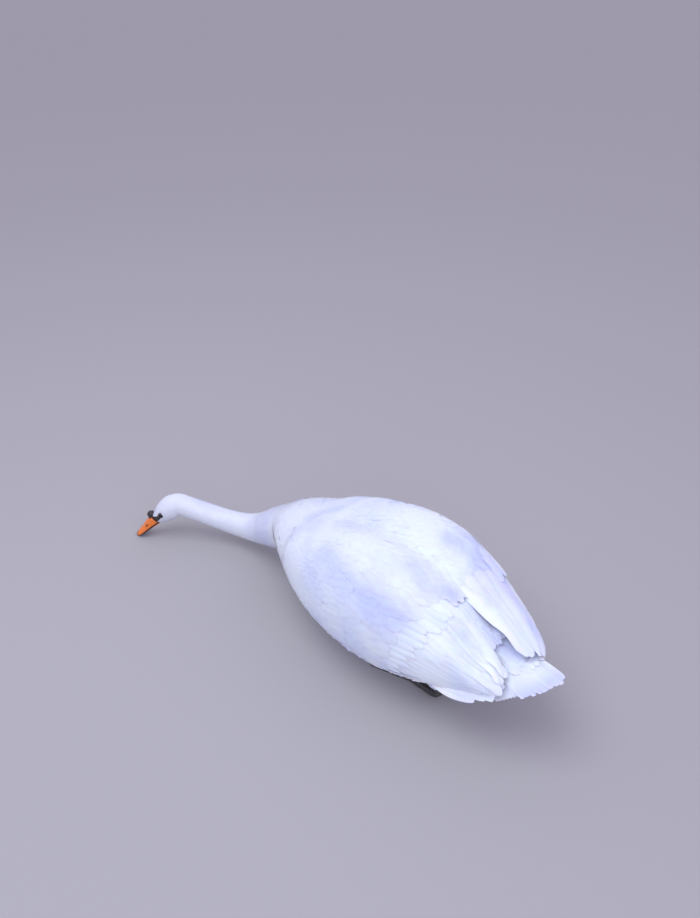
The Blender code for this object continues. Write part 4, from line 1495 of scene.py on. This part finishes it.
def buildUpperBill():
    look = billLook
    mesh = largestPart(remeshed(merged(("bill_upper",)), look["voxel"], 6))
    places, normals = surface(mesh)
    local = inHead(places)
    start, end = local[:, 0].min(), local[:, 0].max()
    share = (local[:, 0] - start) / (end - start)
    low, high = rimOf(local), rimOf(local, False)
    height = (local[:, 2] - low) / np.maximum(high - low, 1 * mm)
    edge = 1 - ramp(local[:, 2] - low, look["edge"] * 0.75, look["edge"] * 1.15)
    edge *= ramp(share, 0.0, 0.1)
    tip = ((share - 1.0) / look["nailLength"]) ** 2 + (local[:, 1] / look["nailHalfWidth"]) ** 2
    nail = 1 - ramp(tip, 0.82, 1.1)
    # the nostril is a slot on each side of the ridge
    along = (local[:, 0] - start - look["nostrilAt"] * (end - start)) / look["nostrilHalf"][0]
    across = (height - look["nostrilHeight"]) * (high - low) / look["nostrilHalf"][1]
    slot = along**2 + across**2
    onSide = (np.abs(local[:, 1]) > 3 * mm) & (height < 0.95)
    nostril = np.where(onSide, 1 - ramp(slot, 0.6, 1.15), 0)
    base = 1 - ramp(share, 0.03, 0.055)
    footLength, footWidth = look["knobFootHalf"]
    foot = ((local[:, 0] - look["knobFootAt"]) / footLength) ** 2 + (local[:, 1] / footWidth) ** 2
    base = np.maximum(base, (1 - ramp(foot, 0.8, 1.1)) * (height > 0.5))
    groove = np.exp(-(((local[:, 2] - low - look["edge"] * 1.3) / (0.7 * mm)) ** 2))
    groove = groove * ramp(share, 0.05, 0.15)
    ridges = np.sin(local[:, 0] / look["ridgeSpacing"]) * (edge > 0.6) * (share < 0.85)
    rise = nail * look["nailRise"] - nostril * look["nostrilDepth"]
    rise = rise - groove * look["grooveDepth"] + ridges * look["ridgeDepth"]
    moveVertices(mesh, places + normals * rise[:, None])
    writeShare(mesh, "dark", np.clip(np.maximum.reduce([edge, nail, nostril, base]), 0, 1))
    finished(newObject("upperBill", mesh), billHorn, "bill_orange", "bill_upper")


def buildPlain(names, title, voxel, rounds, material, slot, bumps, scale, mark=None, change=None):
    # a smooth shell round the solids with soft bumps of the height and scale given
    mesh = largestPart(remeshed(merged(names), voxel, rounds))
    if change:
        change(mesh)
    places, normals = surface(mesh)
    moveVertices(mesh, places + normals * (waves(places, scale) * bumps)[:, None])
    places, _ = surface(mesh)
    if mark:
        writeShare(mesh, "dark", mark(inHead(places)))
    return finished(newObject(title, mesh), material, slot, *names)


def easeLeg(mesh):
    # the hock and shank are rounded off, and the thigh is drawn in under its feathers
    places, _ = surface(mesh)
    places = settled(mesh, places, ramp(places[:, 2], 0.010, 0.017), 45)
    moveVertices(mesh, places)
    _, normals = surface(mesh)
    moveVertices(mesh, places - normals * (3 * mm * ramp(places[:, 2], 0.045, 0.056))[:, None])


def lowerBillDark(local):
    # dark all over, and black along the upper rim and at the tip
    rim = local[:, 2] > rimOf(local, False) - 3 * mm
    return 0.25 + 0.75 * np.clip(ramp(local[:, 0], 0.05, 0.09) + rim, 0, 1)


buildUpperBill()
buildPlain(("bill_lower",), "lowerBill", 0.65 * mm, 5, billHorn, "bill_black", 0.1 * mm, 300.0,
           mark=lowerBillDark)
buildPlain(("bill_knob",), "billKnob", 0.6 * mm, 8, blackSkin, "bill_black", 0.25 * mm, 350.0)

clawLook = {
    "heel": (-0.1484, 0.0845),  # where the three toes of the left foot meet
    "toes": (-13, 0, 11.5),  # degrees
    "length": 17 * mm,
    "radius": 2.5 * mm,
    "tipRadius": 0.15 * mm,
    "narrow": 0.8,  # of its height
    "high": 4.6 * mm,
    "rings": 9,
    "sides": 12,
}


def clawRing(bm, end, way, share):
    # a ring of the claw, from its root at 0 to its tip at 1
    look = clawLook
    radius = look["radius"] * (1 - share**1.6) + look["tipRadius"]
    height = look["high"] * (1 - share**2) + radius * share
    middle = end + way * look["length"] * (share - 1)
    middle[2] = max(height - 0.6 * mm, radius + 0.1 * mm)
    side = np.cross((0, 0, 1), way)
    axes = Matrix((side * radius * look["narrow"], (0, 0, radius), way)).transposed()
    matrix = Matrix.Translation(Vector(middle)) @ axes.to_4x4()
    made = bmesh.ops.create_circle(bm, segments=look["sides"], radius=1, matrix=matrix)["verts"]
    return list(dict.fromkeys(edge for vert in made for edge in vert.link_edges))


def buildClaws(sideName, sign):
    # a horny claw on the end of each toe, bent down to the ground
    look = clawLook
    heel = np.array([look["heel"][0], look["heel"][1] * sign, 0])
    off = nodePoints("foot_" + sideName) - heel
    angle = np.degrees(np.arctan2(off[:, 1] * sign, off[:, 0]))
    reach = np.hypot(off[:, 0], off[:, 1])
    bm = bmesh.new()
    for toe in look["toes"]:
        near = np.abs(angle - toe) < 2
        end = heel + off[near][reach[near].argmax()]
        way = unit(np.array([end[0] - heel[0], end[1] - heel[1], 0]))
        rings = [clawRing(bm, end, way, share) for share in np.linspace(0, 1, look["rings"])]
        for before, after in zip(rings[:-1], rings[1:]):
            bmesh.ops.bridge_loops(bm, edges=before + after)
        for ring in (rings[0], rings[-1]):
            bmesh.ops.edgeloop_fill(bm, edges=ring)
    bmesh.ops.recalc_face_normals(bm, faces=bm.faces)
    finished(newObject(sideName + "Claws", meshOf(bm, sideName + "Claws")), clawHorn, "leg_skin")


for sideName, sign in sides.items():
    names = ("leg_" + sideName, "foot_" + sideName)
    title = sideName + "LegAndFoot"
    buildPlain(names, title, 1.0 * mm, 3, legSkin, "leg_skin", 0.2 * mm, 350.0, change=easeLeg)
    buildClaws(sideName, sign)
print("bare parts built")

# floor, light and camera
stageLook = {
    "floor": (0.36, 0.36, 0.37),
    "sky": (0.85, 0.80, 1.0),
    "skyStrength": 1.0,
    "lampColour": (0.91, 0.96, 1.0),
    "aim": (0.1, 0, 0.15),
    "lamps": {  # place, size and power
        "keyLight": ((0.4, 0.9, 3.0), 2.4, 39),
        "fillLight": ((-2.6, 2.4, 1.6), 2.0, 22),
    },
    "eye": (-1.0213, 1.2242, 1.6554),
    "turn": math.radians(-46.3397),
    "dip": math.radians(35.2),
    "lens": 35.2941,
}


def buildStage():
    look = stageLook
    bm = bmesh.new()
    bmesh.ops.create_grid(bm, x_segments=1, y_segments=1, size=60)
    floor = newObject("floor", meshOf(bm, "floor"))
    made, _, _ = nodeMaterial("paleFloor", look["floor"], 0.9)
    floor.data.materials.append(made)
    world = bpy.data.worlds.new("studio")
    world.use_nodes = True
    background = world.node_tree.nodes["Background"]
    background.inputs["Color"].default_value = (*look["sky"], 1)
    background.inputs["Strength"].default_value = look["skyStrength"]
    bpy.context.scene.world = world
    for name, (place, size, power) in look["lamps"].items():
        light = bpy.data.lights.new(name, "AREA")
        light.shape = "DISK"
        light.size = size
        light.energy = power
        light.color = look["lampColour"]
        lamp = bpy.data.objects.new(name, light)
        lamp.location = place
        lamp.rotation_euler = (Vector(look["aim"]) - Vector(place)).to_track_quat("-Z", "Y").to_euler()
        bpy.context.scene.collection.objects.link(lamp)
    camera = bpy.data.objects.new("camera", bpy.data.cameras.new("camera"))
    camera.location = look["eye"]
    turn, dip = look["turn"], look["dip"]
    ahead = Vector((math.cos(turn) * math.cos(dip), math.sin(turn) * math.cos(dip), -math.sin(dip)))
    camera.rotation_euler = ahead.to_track_quat("-Z", "Y").to_euler()
    camera.data.sensor_width = 36
    camera.data.lens = look["lens"]
    bpy.context.scene.collection.objects.link(camera)
    bpy.context.scene.camera = camera
    bpy.context.scene.view_settings.view_transform = "Standard"


buildStage()
bpy.context.view_layer.update()
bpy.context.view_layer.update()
total = sum(len(o.data.polygons) for o in bpy.data.objects if o.type == "MESH" and o.visible_get())
print("faces", total)
